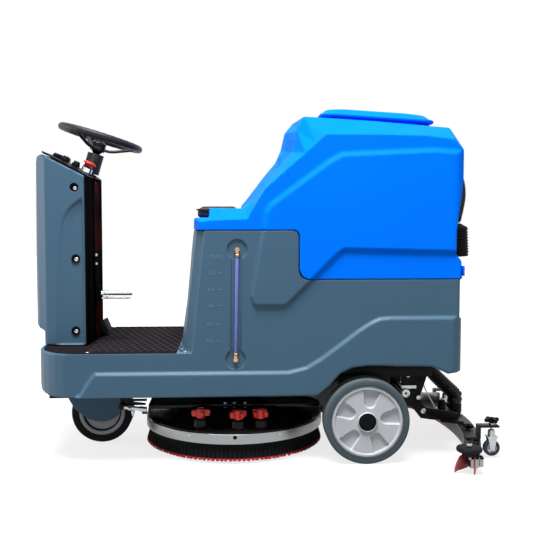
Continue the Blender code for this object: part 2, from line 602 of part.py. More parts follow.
def squeegee_body():
    bar = arc_strip(ARC_R - 0.024, ARC_R + 0.024, 0.0530, 0.0630, SQ_HALF)
    join(bar, arc_strip(ARC_R - 0.0085, ARC_R + 0.0085, 0.0200, 0.0540, SQ_HALF - 0.004))
    join(bar, prism_z(fillet([(0.578, -0.070), (0.650, -0.110), (0.650, 0.110), (0.578, 0.070)], 0.012),
                      0.0625, 0.0705))
    join(bar, lathe([(0.0135, 0.066), (0.0135, 0.1020)], (SWING_X, 0, 0), (0, 0, 1), 16))
    for s in (-1, 1):
        yc = s * CASTER_Y
        xf = arc_x(yc)
        y0, y1 = sorted((yc - 0.017, yc + 0.017))
        join(bar, box(xf - 0.020, xf + 0.022, y0, y1, 0.0620, 0.0670))
        join(bar, box(xf + 0.017, xf + 0.022, y0, y1, 0.0650, 0.1010))
        join(bar, box(xf + 0.017, CASTER_X + 0.019, y0, y1, 0.0960, 0.1010))
        xe = arc_x(s * 0.398)
        join(bar, lathe([(0.0060, 0.060), (0.0060, 0.0880)], (xe - 0.006, s * 0.398, 0), (0, 0, 1), 12))
        cut(bar, rod((CASTER_X, yc, 0.090), (CASTER_X, yc, 0.11), 0.0050, 12))
    cut(bar, rod((arc_x(0.030) - 0.003, 0.030, 0.0), (arc_x(0.030) - 0.003, 0.030, 0.12), 0.0204, 20))
    cut(bar, rod((arc_x(0.030) - 0.003, 0.030, 0.0630), (arc_x(0.030) - 0.003, 0.030, 0.12), 0.0264, 20))
    return bar


def squeegee_arm():
    px, _, pz = ARM_PIVOT
    arm = rod((px, -0.120, pz), (px, 0.120, pz), 0.0130, 16)
    for s in (-1, 1):
        y0, y1 = sorted((s * 0.092, s * 0.100))
        join(arm, prism_y([(px - 0.016, pz - 0.010), (px - 0.010, pz + 0.018), (px + 0.014, pz + 0.016),
                           (0.520, 0.1180), (0.628, 0.0980), (0.628, 0.0780), (0.545, 0.0780), (0.505, 0.0840),
                           (0.478, 0.1180)], y0, y1))
    plate = prism_z(fillet([(0.548, -0.0995), (0.6235, -0.0995), (0.6235, 0.0995), (0.548, 0.0995)], 0.006),
                    0.0860, 0.0940)
    cut(plate, rod((SWING_X, 0, 0.07), (SWING_X, 0, 0.12), 0.0148, 16))
    join(arm, plate)
    cut(arm, rod((px, -0.2, pz), (px, 0.2, pz), 0.0092, 14))
    return arm


def caster_fork(s):
    yc = s * CASTER_Y
    fork = box(CASTER_X - 0.016, CASTER_X + 0.016, yc - 0.0130, yc + 0.0130, 0.0640, 0.0670)
    for t in (-1, 1):
        y0, y1 = sorted((yc + t * 0.0105, yc + t * 0.0130))
        join(fork, prism_y([(CASTER_X - 0.014, 0.0665), (CASTER_X + 0.014, 0.0665), (CASTER_X + 0.006, 0.0240),
                            (CASTER_X - 0.006, 0.0240)], y0, y1))
    join(fork, lathe([(0.0115, 0.0655), (0.0115, 0.0800), (0.009, 0.0860), (0.0040, 0.0880), (0.0040, 0.1060)],
                     (CASTER_X, yc, 0), (0, 0, 1), 12))
    join(fork, rod((CASTER_X, yc - 0.0140, 0.0310), (CASTER_X, yc + 0.0140, 0.0310), 0.0030, 10))
    return fork


def caster_wheel(s):
    return lathe([(0.0039, -0.0095), (0.0100, -0.0095), (0.0105, -0.0080), (CASTER_R - 0.001, -0.0080),
                  (CASTER_R, -0.0060), (CASTER_R, 0.0060), (CASTER_R - 0.001, 0.0080), (0.0105, 0.0080),
                  (0.0100, 0.0095), (0.0039, 0.0095)], (CASTER_X, s * CASTER_Y, 0.0310), (0, 1, 0), 20, ring=True)


def chassis():
    rail = [(-0.660, 0.1780), (0.165, 0.1780), (0.235, 0.2350), (0.520, 0.2350), (0.520, 0.2670), (0.495, 0.2800),
            (0.255, 0.2800), (0.205, 0.2500), (0.150, 0.2045), (-0.660, 0.2045)]
    frame = prism_y(rail, -0.172, -0.1405)
    join(frame, prism_y(rail, 0.1405, 0.172))
    join(frame, box(-0.6600, -0.6520, -0.145, 0.145, 0.1780, 0.2045))
    join(frame, box(0.4960, 0.5120, -0.160, 0.160, 0.2400, 0.2660))
    join(frame, box(0.2620, 0.3000, -0.160, 0.160, 0.2400, 0.2780))
    join(frame, box(-0.3850, -0.3790, -0.145, 0.145, 0.1790, 0.2045))
    join(frame, box(-0.6200, -0.4300, -0.1440, 0.1440, 0.2900, 0.2980))
    for s in (-1, 1):
        y0, y1 = sorted((s * 0.1370, s * 0.1440))
        join(frame, box(-0.6200, -0.4300, y0, y1, 0.1790, 0.2970))
        y0, y1 = sorted((s * 0.1500, s * 0.1580))
        join(frame, prism_y([(0.262, 0.2500), (0.328, 0.2500), (0.315, 0.1050), (0.275, 0.1050)], y0, y1))
        y0, y1 = sorted((s * 0.1230, s * 0.1420))
        join(frame, prism_y([(0.430, 0.2500), (0.5190, 0.2500), (0.500, 0.1900), (0.480, 0.1340), (0.444, 0.1340),
                             (0.435, 0.1700)], y0, y1))
    join(frame, rod((ARM_PIVOT[0], -0.130, ARM_PIVOT[2]), (ARM_PIVOT[0], 0.130, ARM_PIVOT[2]), 0.0080, 14))
    join(frame, prism_y([(-0.446, 0.1850), (-0.424, 0.1850), (-0.420, 0.1660), (-0.368, 0.1600), (-0.368, 0.1540),
                         (-0.446, 0.1540)], -0.1720, -0.1660))
    cut(frame, rod((FWHEEL_X, 0, 0.28), (FWHEEL_X, 0, 0.31), 0.0214, 18))
    cut(frame, rod((WHEEL_X, -0.2, WHEEL_R), (WHEEL_X, 0.2, WHEEL_R), 0.0110, 16))
    return frame


def build():
    node("solution_tank", solution_tank(), GREY)
    node("chassis_frame", chassis(), STEEL)
    node("front_shroud", front_shroud(), GREY)
    panel = box(PANEL_X - 0.0030, PANEL_X + 0.0010, -SHROUD_HW + 0.0005, SHROUD_HW - 0.0005, DECKTOP_Z + 0.0045,
                0.8550)
    join(panel, box(PANEL_X, PANEL_X + 0.0075, -0.0920, 0.0920, DECKTOP_Z + 0.0045, 0.8550))
    node("column_panel", panel, BLACK)
    node("dashboard", dash_plate(), BLACK)
    p, n = on_dash(-0.6490, 0.0008)
    u = n.cross(Vector((0, 1, 0)))
    bezel = [p - u * 0.016, p + u * 0.016, p + u * 0.012 + n * 0.0100, p - u * 0.012 + n * 0.0130]
    node("display_bezel", prism_y([(q.x, q.z) for q in bezel], -0.070, 0.070), BLACK)
    mat_outline = plan_outline(HALF_W - 0.0135, FRONT_X + 0.0095, -0.2665, 0.1405, 0.0)
    node("floor_mat", prism_z(mat_outline, DECKTOP_Z - 0.0036, DECKTOP_Z + 0.0015), RUBBER)
    for s, side in ((-1, "left"), (1, "right")):
        y0, y1 = sorted((s * 0.0060, s * 0.1760))
        battery = box(-0.1880, 0.1180, y0, y1, 0.3455, 0.5300)
        for x in (-0.160, 0.070):
            join(battery, rod((x, s * 0.130, 0.5290), (x, s * 0.130, 0.5420), 0.0080, 12))
        node("battery_" + side, battery, BLACK)
    node("controller_box", box(-0.6300, -0.5700, -0.0900, 0.0900, 0.4200, 0.5900), BLACK)
    node("column_sleeve", column_sleeve(), BLACK)
    wheel = steering()
    node("steering_wheel", wheel, BLACK, STEER_C)
    p, n = on_dash(-0.5560, 0.0025)
    p.y = -0.0830
    node("e_stop_head", lathe([(0.0100, 0.0100), (0.0120, 0.0200), (0.0205, 0.0260), (0.0205, 0.0300),
                               (0.0150, 0.0350)], p, n, 20), RED, tuple(p + n * 0.01))
    for name, x in (("rocker_front", -0.6210), ("rocker_rear", -0.5890)):
        p, n = on_dash(x, 0.0008)
        p.y = -0.0850
        node(name, lathe([(0.0130, 0.0), (0.0130, 0.0080), (0.0105, 0.0095), (0.0095, 0.0160)], p, n, 14),
             BLACK, tuple(p))
    node("level_tube", rod((-0.0925, -HALF_W + 0.0075, 0.3260), (-0.0875, -HALF_W + 0.0075, 0.6230), 0.0053, 16),
         CLEAR)
    for name, x, z, d in (("gauge_fitting_top", -0.0875, 0.6360, -1), ("gauge_fitting_bottom", -0.0925, 0.3145, 1)):
        elbow = rod((x, -HALF_W + 0.0134, z), (x, -HALF_W + 0.0010, z), 0.0068, 14)
        join(elbow, rod((x, -HALF_W + 0.0075, z), (x, -HALF_W + 0.0075, z + d * 0.0112), 0.0060, 16))
        node(name, elbow, BRASS)
    node("vacuum_hose", hose(), BLACK)
    node("rear_axle", rod((WHEEL_X, -0.3075, WHEEL_R), (WHEEL_X, 0.3075, WHEEL_R), 0.0100, 16), CHROME)
    node("lift_cable", sweep([(0.510, -0.040, 0.2370), (0.520, -0.043, 0.205), (0.535, -0.048, 0.160),
                              (0.560, -0.052, 0.1150), (0.566, -0.052, 0.0955)], circle(0.0020, 8), 10), CHROME)
    node("feed_pipe", feed_pipe(), CHROME)
    node("recovery_tank", recovery_tank(), BLUE, HINGE)
    node("seat_cushion", seat_cushion(), VINYL, HINGE)
    node("vacuum_motor", lathe([(0.060, 0.760), (0.060, 0.860), (0.050, 0.880), (0.030, 0.905)], (0.140, 0.130, 0),
                               (0, 0, 1), 32), BLACK, HINGE)
    node("drain_hose", drain_hose(), BLACK, HINGE)
    node("drain_cap", lathe([(0.0165, -0.012), (0.0165, 0.004), (0.0285, 0.0045), (0.0285, 0.0700), (0.0330, 0.0720),
                             (0.0330, 0.0880), (0.0250, 0.0920)], (0.6040, -0.135, 0.6980), (0.05, 0, -1.0), 18),
         BLACK, HINGE)
    node("tank_lid", tank_lid(), BLUE, LID_HINGE)
    hinges()
    wheels()
    deck()
    squeegee()
    pedals()


def hose():
    """Vacuum hose from the body's underside down to the squeegee port."""
    px = arc_x(0.030) - 0.003
    pts = [(0.5380, 0.030, 0.2640), (0.5390, 0.030, 0.2500), (0.5680, 0.030, 0.2000), (0.6150, 0.030, 0.1600),
           (px - 0.003, 0.030, 0.1280), (px, 0.030, 0.1090), (px, 0.030, 0.1026)]
    return sweep(pts, circle(0.0228, 14), 18)


def drain_hose():
    pts = [(0.5800, -0.135, 0.8720), (0.595, -0.135, 0.8710), (0.613, -0.135, 0.8450), (0.6190, -0.135, 0.8000),
           (0.6120, -0.135, 0.7500), (0.6030, -0.135, 0.7190), (0.6030, -0.135, 0.7125)]
    return sweep(pts, circle(0.0115, 12), 16)


def feed_pipe():
    y = -0.1812
    pipe = rod((-0.4400, y, 0.1522), (-0.3640, y, 0.1425), 0.0062, 12)
    join(pipe, rod((-0.4200, y, 0.1497), (-0.4100, y, 0.1484), 0.0085, 12))
    join(pipe, rod((-0.4070, y, 0.1480), (-0.4050, y, 0.1230), 0.0036, 10))
    join(pipe, rod((-0.4400, y + 0.0065, 0.1522), (-0.4400, y - 0.0065, 0.1522), 0.0095, 12))
    return pipe


def hinges():
    """Rear butt hinge in two leaves: outer knuckles and pin below, one bored knuckle each side above."""
    x, _, z = HINGE
    lower = box(0.5714, 0.5742, -0.219, 0.219, z - 0.045, z - 0.0070)
    upper = box(0.5759, 0.5787, -0.219, 0.219, z + 0.0030, z + 0.0350)
    for s in (-1, 1):
        yc = s * 0.195
        for a, b in ((-0.024, -0.009), (0.009, 0.024)):
            join(lower, rod((x, yc + a, z), (x, yc + b, z), 0.0050, 12))
            join(lower, box(0.5720, x - 0.001, yc + a, yc + b, z - 0.0098, z - 0.0030))
        join(lower, rod((x, yc - 0.0095, z), (x, yc + 0.0095, z), 0.0022, 10))
        join(upper, rod((x, yc - 0.0086, z), (x, yc + 0.0086, z), 0.0050, 12))
        join(upper, box(0.5765, x - 0.001, yc - 0.0086, yc + 0.0086, z + 0.0031, z + 0.0080))
        cut(upper, rod((x, yc - 0.02, z), (x, yc + 0.02, z), 0.0030, 10))
    node("tank_hinge_lower", lower, STEEL, HINGE)
    node("tank_hinge_upper", upper, STEEL, HINGE)


def wheels():
    fc = (FWHEEL_X, 0, FWHEEL_R)
    node("front_fork", front_fork(), STEEL, (FWHEEL_X, 0, 0.2))
    node("wheel_guard", wheel_guard(), GREY, (FWHEEL_X, 0, 0.2))
    node("front_tyre", tyre(fc, FWHEEL_R, 0.0748, 0.0350), RUBBER, fc)
    node("front_hub", front_hub(), HUB, fc)
    half = (WHEEL_Y1 - WHEEL_Y0) / 2
    for s, side in ((-1, "left"), (1, "right")):
        c = (WHEEL_X, s * (WHEEL_Y0 + WHEEL_Y1) / 2, WHEEL_R)
        node("rear_tyre_" + side, tyre(c, WHEEL_R, 0.1063, half), TYRE, c)
        node("rear_hub_" + side, rear_hub(s), HUB, c)


def deck():
    c = (DECK_X, 0, 0.09)
    node("deck_cover", deck_cover(), BLACK, c)
    band = lathe([(0.2830, 0.0600), (DECK_R, 0.0600), (DECK_R, 0.0900), (0.2830, 0.0900)], (DECK_X, 0, 0),
                 (0, 0, 1), 44, ring=True)
    node("deck_band", band, ALUM, c)
    motor = lathe([(0.060, 0.1385), (0.092, 0.1385), (0.092, 0.2600), (0.080, 0.2850)], (DECK_X, 0, 0), (0, 0, 1), 24)
    join(motor, rod((DECK_X, 0, 0.0870), (DECK_X, 0, 0.1400), 0.0150, 16))
    node("brush_motor", motor, BLACK, c)
    for i, (x, y) in enumerate(((-0.198, -0.208), (-0.085, -0.232), (-0.018, -0.222))):
        node("star_knob_%d" % (i + 1), star_knob(x, y), RED, c)
    disc = lathe([(0.060, 0.0560), (0.2700, 0.0560), (0.2700, 0.0740), (0.0500, 0.0780), (0.0500, 0.0860),
                  (0.0160, 0.0860), (0.0160, 0.0700), (0.060, 0.0700)], (DECK_X, 0, 0), (0, 0, 1), 32, ring=True)
    node("brush_disc", disc, BLACK, (DECK_X, 0, 0.05))
    tufts = lathe([(0.1300, 0.0080), (0.2865, 0.0080), (0.2790, 0.0556), (0.1300, 0.0556)], (DECK_X, 0, 0),
                  (0, 0, 1), 44, ring=True)
    node("brush_bristles", tufts, BRISTLE, (DECK_X, 0, 0.05))


def squeegee():
    swing = (SWING_X, 0, 0.08)
    node("squeegee_arm", squeegee_arm(), STEEL, ARM_PIVOT)
    node("squeegee_body", squeegee_body(), STEEL, swing)
    node("blade_front", arc_strip(ARC_R - 0.0130, ARC_R - 0.0092, 0.0040, 0.0500, SQ_HALF - 0.008), BLADE, swing)
    node("blade_rear", arc_strip(ARC_R + 0.0092, ARC_R + 0.0130, 0.0040, 0.0500, SQ_HALF - 0.003), BLADE, swing)
    px = arc_x(0.030) - 0.003
    port = lathe([(0.0190, 0.0560), (0.0190, 0.0634), (0.0250, 0.0715), (0.0250, 0.1010), (0.0150, 0.1010),
                  (0.0150, 0.0560)], (px, 0.030, 0), (0, 0, 1), 20, ring=True)
    node("suction_port", port, BLACK, swing)
    for s, side in ((-1, "left"), (1, "right")):
        yc = s * CASTER_Y
        node("caster_fork_" + side, caster_fork(s), CHROME, (CASTER_X, yc, 0.08))
        node("caster_wheel_" + side, caster_wheel(s), NAVY, (CASTER_X, yc, 0.0310))
        xe = arc_x(0.398) - 0.006
        roller = lathe([(0.0070, 0.0636), (0.0300, 0.0636), (0.0360, 0.0670), (0.0370, 0.0710), (0.0360, 0.0750),
                        (0.0300, 0.0784), (0.0070, 0.0784)], (xe, s * 0.398, 0), (0, 0, 1), 20, ring=True)
        node("bumper_roller_" + side, roller, RUBBER, (xe, s * 0.398, 0.071))


def pedals():
    pivot = (-0.5340, 0.0800, 0.3520)
    plate = prism_y([(-0.5370, 0.3480), (-0.5200, 0.3480), (-0.5120, 0.3550), (-0.5270, 0.3900), (-0.5360, 0.3860)],
                    0.0400, 0.1200)
    node("accelerator_pedal", plate, BLACK, pivot)
    pivot = (-0.5285, -0.0600, 0.6180)
    lever = prism_y([(-0.5355, 0.6280), (-0.5215, 0.6280), (-0.5155, 0.4680), (-0.5295, 0.4680)], -0.0800, -0.0400)
    join(lever, rod((-0.5240, -0.0600, 0.4900), (-0.4190, -0.0600, 0.4900), 0.0080, 12))
    join(lever, rod((-0.5230, -0.0600, 0.4752), (-0.4250, -0.0600, 0.4752), 0.0038, 10))
    node("lift_lever", lever, STEEL, pivot)


build()
print("objects", len(bpy.data.objects))
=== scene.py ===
"""Looks of the ride-on floor scrubber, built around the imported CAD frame. Metres, +Z up, front at -X."""
import math
import random

import bmesh
import bpy
import numpy as np
from mathutils import Matrix, Vector
from mathutils.bvhtree import BVHTree

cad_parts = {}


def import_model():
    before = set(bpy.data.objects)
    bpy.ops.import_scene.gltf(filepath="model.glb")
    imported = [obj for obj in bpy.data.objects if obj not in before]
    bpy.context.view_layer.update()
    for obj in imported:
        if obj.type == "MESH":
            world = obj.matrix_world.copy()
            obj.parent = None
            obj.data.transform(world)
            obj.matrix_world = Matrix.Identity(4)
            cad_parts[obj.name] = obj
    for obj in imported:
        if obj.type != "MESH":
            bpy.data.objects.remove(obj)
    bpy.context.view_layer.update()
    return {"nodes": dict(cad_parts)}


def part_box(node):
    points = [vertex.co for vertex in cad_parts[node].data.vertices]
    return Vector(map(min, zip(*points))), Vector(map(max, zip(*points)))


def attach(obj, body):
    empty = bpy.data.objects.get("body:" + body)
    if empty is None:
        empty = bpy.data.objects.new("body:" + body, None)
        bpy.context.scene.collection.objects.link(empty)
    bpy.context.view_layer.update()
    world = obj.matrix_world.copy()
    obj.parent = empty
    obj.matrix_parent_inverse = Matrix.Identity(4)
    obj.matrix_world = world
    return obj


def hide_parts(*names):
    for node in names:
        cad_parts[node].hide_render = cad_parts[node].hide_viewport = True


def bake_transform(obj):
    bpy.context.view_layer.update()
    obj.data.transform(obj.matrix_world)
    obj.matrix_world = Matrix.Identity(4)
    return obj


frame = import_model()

RNG = random.Random(11)

# Shapes are laid out in the machine's own drawing frame, whose X is CENTRE_X short of the world's.
CENTRE_X = 0.00675
SIDES = ((-1, "left"), (1, "right"))
# Grey tank: half its width, the depth of the step in its walls, and the gauge's fittings in X and Z.
HALF_W = 0.3
STEP = 0.009
GAUGE_TOP = (-0.0875, 0.636)
GAUGE_BOTTOM = (-0.0925, 0.3145)
# Centres of the rear and front wheels, and half the width of a rear tyre.
WHEEL = (0.295, 0.2685, 0.127)
WHEEL_HALF = 0.0365
FRONT = (-0.5245, 0.0, 0.098)
# Middle of the brush deck, and how far out a bristle may stand.
DECK_X = -0.095
TUFT_REACH = 0.2845
# Steering wheel, the ends of the dashboard's slope in X and Z, and the column's rear face.
STEER_TILT = math.radians(16.6)
STEER_C = Vector((-0.523, 0.0, 0.985))
STEER_AXIS = Vector((math.sin(STEER_TILT), 0, math.cos(STEER_TILT)))
DASH_A = (-0.677, 0.925)
DASH_B = (-0.5475, 0.862)
PANEL_X = -0.5395
# Height and X of the bolts in the column's sides.
SHROUD_BOLTS = ((0.8205, -0.581), (0.603, -0.58), (0.381, -0.583))
# The squeegee's arc, and the left caster's place.
ARC_R = 1.04
ARC_CX = -0.385
CASTER = (0.684, 0.252, 0.031)


# ---------------------------------------------------------------- camera, light and floor
def linked(name, data):
    """A new object of the scene that holds data."""
    ob = bpy.data.objects.new(name, data)
    bpy.context.scene.collection.objects.link(ob)
    return ob


def add_node(tree, kind, inputs=None, **settings):
    """A new shader node; inputs gives each socket its value or the socket that it is linked from."""
    node = tree.nodes.new("ShaderNode" + kind)
    for key, value in settings.items():
        setattr(node, key, value)
    for socket, value in (inputs or {}).items():
        if isinstance(value, bpy.types.NodeSocket):
            tree.links.new(value, node.inputs[socket])
        else:
            node.inputs[socket].default_value = value
    return node


def add_camera():
    data = bpy.data.cameras.new("camera")
    data.lens = 52.008
    data.sensor_width = 36.0
    data.clip_start = 0.05
    data.clip_end = 60.0
    cam = linked("camera", data)
    cam.location = (-0.1042, -2.523, 0.7184)
    cam.rotation_euler = (math.pi / 2 - 0.059, 0.0, -0.0486)
    bpy.context.scene.camera = cam


def add_area(name, place_at, target, size, power):
    data = bpy.data.lights.new(name, "AREA")
    data.shape = "RECTANGLE"
    data.size, data.size_y = size
    data.energy = power
    lamp = linked(name, data)
    lamp.location = place_at
    lamp.rotation_euler = (Vector(target) - Vector(place_at)).to_track_quat("-Z", "Y").to_euler()


def seen_ray(tree):
    """1 for rays that come from the camera or a mirror or glass, so that those see the white background."""
    path = add_node(tree, "LightPath")
    first = add_node(tree, "Math", {0: path.outputs["Is Camera Ray"], 1: path.outputs["Is Glossy Ray"]},
                     operation="MAXIMUM")
    second = add_node(tree, "Math", {0: first.outputs[0], 1: path.outputs["Is Transmission Ray"]},
                      operation="MAXIMUM")
    return second.outputs[0]


def add_world():
    """White for the camera and in mirrors, and dim as a light."""
    world = bpy.data.worlds.new("studio")
    bpy.context.scene.world = world
    world.use_nodes = True
    tree = world.node_tree
    back = tree.nodes["Background"]
    back.inputs["Color"].default_value = (1.0, 1.0, 1.0, 1.0)
    level = add_node(tree, "MapRange", {"To Min": 0.24, "To Max": 1.0, "Value": seen_ray(tree)})
    tree.links.new(level.outputs["Result"], back.inputs["Strength"])


def add_floor():
    """White floor that keeps a soft shadow near the machine and glows up to the background further out."""
    mesh = bpy.data.meshes.new("floor")
    side = 14.0
    mesh.from_pydata([(-side, -side, 0), (side, -side, 0), (side, side, 0), (-side, side, 0)], [],
                     [(0, 1, 2, 3)])
    floor = linked("floor", mesh)
    floor.location.z = -0.0005
    mat = bpy.data.materials.new("floor_white")
    mat.use_nodes = True
    tree = mat.node_tree
    bsdf = tree.nodes["Principled BSDF"]
    bsdf.inputs["Base Color"].default_value = (0.24, 0.24, 0.24, 1.0)
    bsdf.inputs["Roughness"].default_value = 0.9
    bsdf.inputs["Emission Color"].default_value = (1.0, 1.0, 1.0, 1.0)
    place_of = add_node(tree, "TexCoord")
    reach = add_node(tree, "VectorMath", {0: place_of.outputs["Object"]}, operation="LENGTH")
    glow = add_node(tree, "MapRange", {"From Min": 0.7, "From Max": 2.2, "To Min": 0.78, "To Max": 1.0,
                                       "Value": reach.outputs["Value"]}, interpolation_type="SMOOTHSTEP")
    gate = add_node(tree, "Math", {0: seen_ray(tree), 1: glow.outputs["Result"]}, operation="MULTIPLY")
    tree.links.new(gate.outputs[0], bsdf.inputs["Emission Strength"])
    mesh.materials.append(mat)


add_camera()
add_world()
add_floor()
add_area("key", (-0.35, -1.3, 3.7), (0.0, 0.0, 0.4), (2.2, 1.3), 300.0)
add_area("fill", (-0.4, -3.4, 1.3), (-0.1, 0.0, 0.5), (2.6, 1.4), 4.0)
add_area("side", (-3.2, 0.1, 1.0), (-0.6, 0.0, 0.4), (1.4, 1.6), 34.0)
bpy.context.scene.view_settings.view_transform = "Standard"


# ---------------------------------------------------------------- materials
def shader(name, colour, rough, metal=0.0, vary=0.06, patch=7.0, grain=900.0, bump=0.12, depth=0.0004,
           rough_vary=0.06, specular=0.25, round_by=0.0, height=None, tint=None, clear=0.0):
    """Principled material whose colour, roughness and relief vary over the surface in object space.

    height(tree, coords) may give a relief of its own, and tint(tree, coords) a mask and a second colour."""
    mat = bpy.data.materials.new(name)
    mat.use_nodes = True
    mat.diffuse_color = (*colour, 1.0)
    tree = mat.node_tree
    link = tree.links.new
    bsdf = tree.nodes["Principled BSDF"]
    bsdf.inputs["Metallic"].default_value = metal
    bsdf.inputs["Specular IOR Level"].default_value = specular
    bsdf.inputs["Transmission Weight"].default_value = clear
    coords = add_node(tree, "TexCoord").outputs["Object"]

    patches = add_node(tree, "TexNoise", {"Scale": patch, "Detail": 5.0, "Vector": coords}).outputs["Fac"]
    darker = [c * (1.0 - vary) for c in colour]
    lighter = [min(1.0, c * (1.0 + vary) + 0.015 * vary) for c in colour]
    result = add_node(tree, "Mix", {"A": (*darker, 1.0), "B": (*lighter, 1.0), "Factor": patches},
                      data_type="RGBA").outputs["Result"]
    if tint:
        mask, second = tint(tree, coords)
        result = add_node(tree, "Mix", {"A": result, "B": (*second, 1.0), "Factor": mask},
                          data_type="RGBA").outputs["Result"]
    link(result, bsdf.inputs["Base Color"])
    gloss = add_node(tree, "MapRange", {"To Min": max(0.02, rough - rough_vary),
                                        "To Max": min(1.0, rough + rough_vary), "Value": patches})
    link(gloss.outputs["Result"], bsdf.inputs["Roughness"])

    fine = add_node(tree, "TexNoise", {"Scale": grain, "Detail": 3.0, "Vector": coords}).outputs["Fac"]
    relief = add_node(tree, "Bump", {"Strength": bump, "Distance": depth, "Height": fine})
    if round_by:
        soft = add_node(tree, "Bevel", {"Radius": round_by}, samples=6)
        link(soft.outputs["Normal"], relief.inputs["Normal"])
    normal = relief.outputs["Normal"]
    if height:
        value, distance = height(tree, coords)
        normal = add_node(tree, "Bump", {"Strength": 1.0, "Distance": distance, "Height": value,
                                         "Normal": normal}).outputs["Normal"]
    link(normal, bsdf.inputs["Normal"])
    return mat


def waves(scale, distance, tilt):
    """Ribs across an axis that is tilted by that many degrees."""
    def make(tree, coords):
        turned = add_node(tree, "Mapping", {"Rotation": (0, math.radians(tilt), 0), "Vector": coords})
        wave = add_node(tree, "TexWave", {"Scale": scale, "Vector": turned.outputs["Vector"]})
        return wave.outputs["Fac"], distance
    return make


def cells(scale, distance):
    """Leather grain: small cells with grooves between them."""
    def make(tree, coords):
        grain = add_node(tree, "TexVoronoi", {"Scale": scale, "Vector": coords}, feature="DISTANCE_TO_EDGE")
        flat = add_node(tree, "MapRange", {"From Max": 0.12, "Value": grain.outputs["Distance"]})
        return flat.outputs["Result"], distance
    return make


def brushed(axis, distance=0.00006):
    """Fine scratches that run along one axis."""
    def make(tree, coords):
        squeeze = [0.02 if k == axis else 1.0 for k in range(3)]
        stretch = add_node(tree, "Mapping", {"Scale": squeeze, "Vector": coords})
        lines = add_node(tree, "TexNoise", {"Scale": 1500.0, "Vector": stretch.outputs["Vector"]})
        return lines.outputs["Fac"], distance
    return make


def speckle(colour, scale, low, high):
    """Spots of a second colour where a noise is above low, full from high on."""
    def make(tree, coords):
        spots = add_node(tree, "TexNoise", {"Scale": scale, "Detail": 6.0, "Vector": coords})
        mask = add_node(tree, "MapRange", {"From Min": low, "From Max": high, "Value": spots.outputs["Fac"]})
        return mask.outputs["Result"], colour
    return make


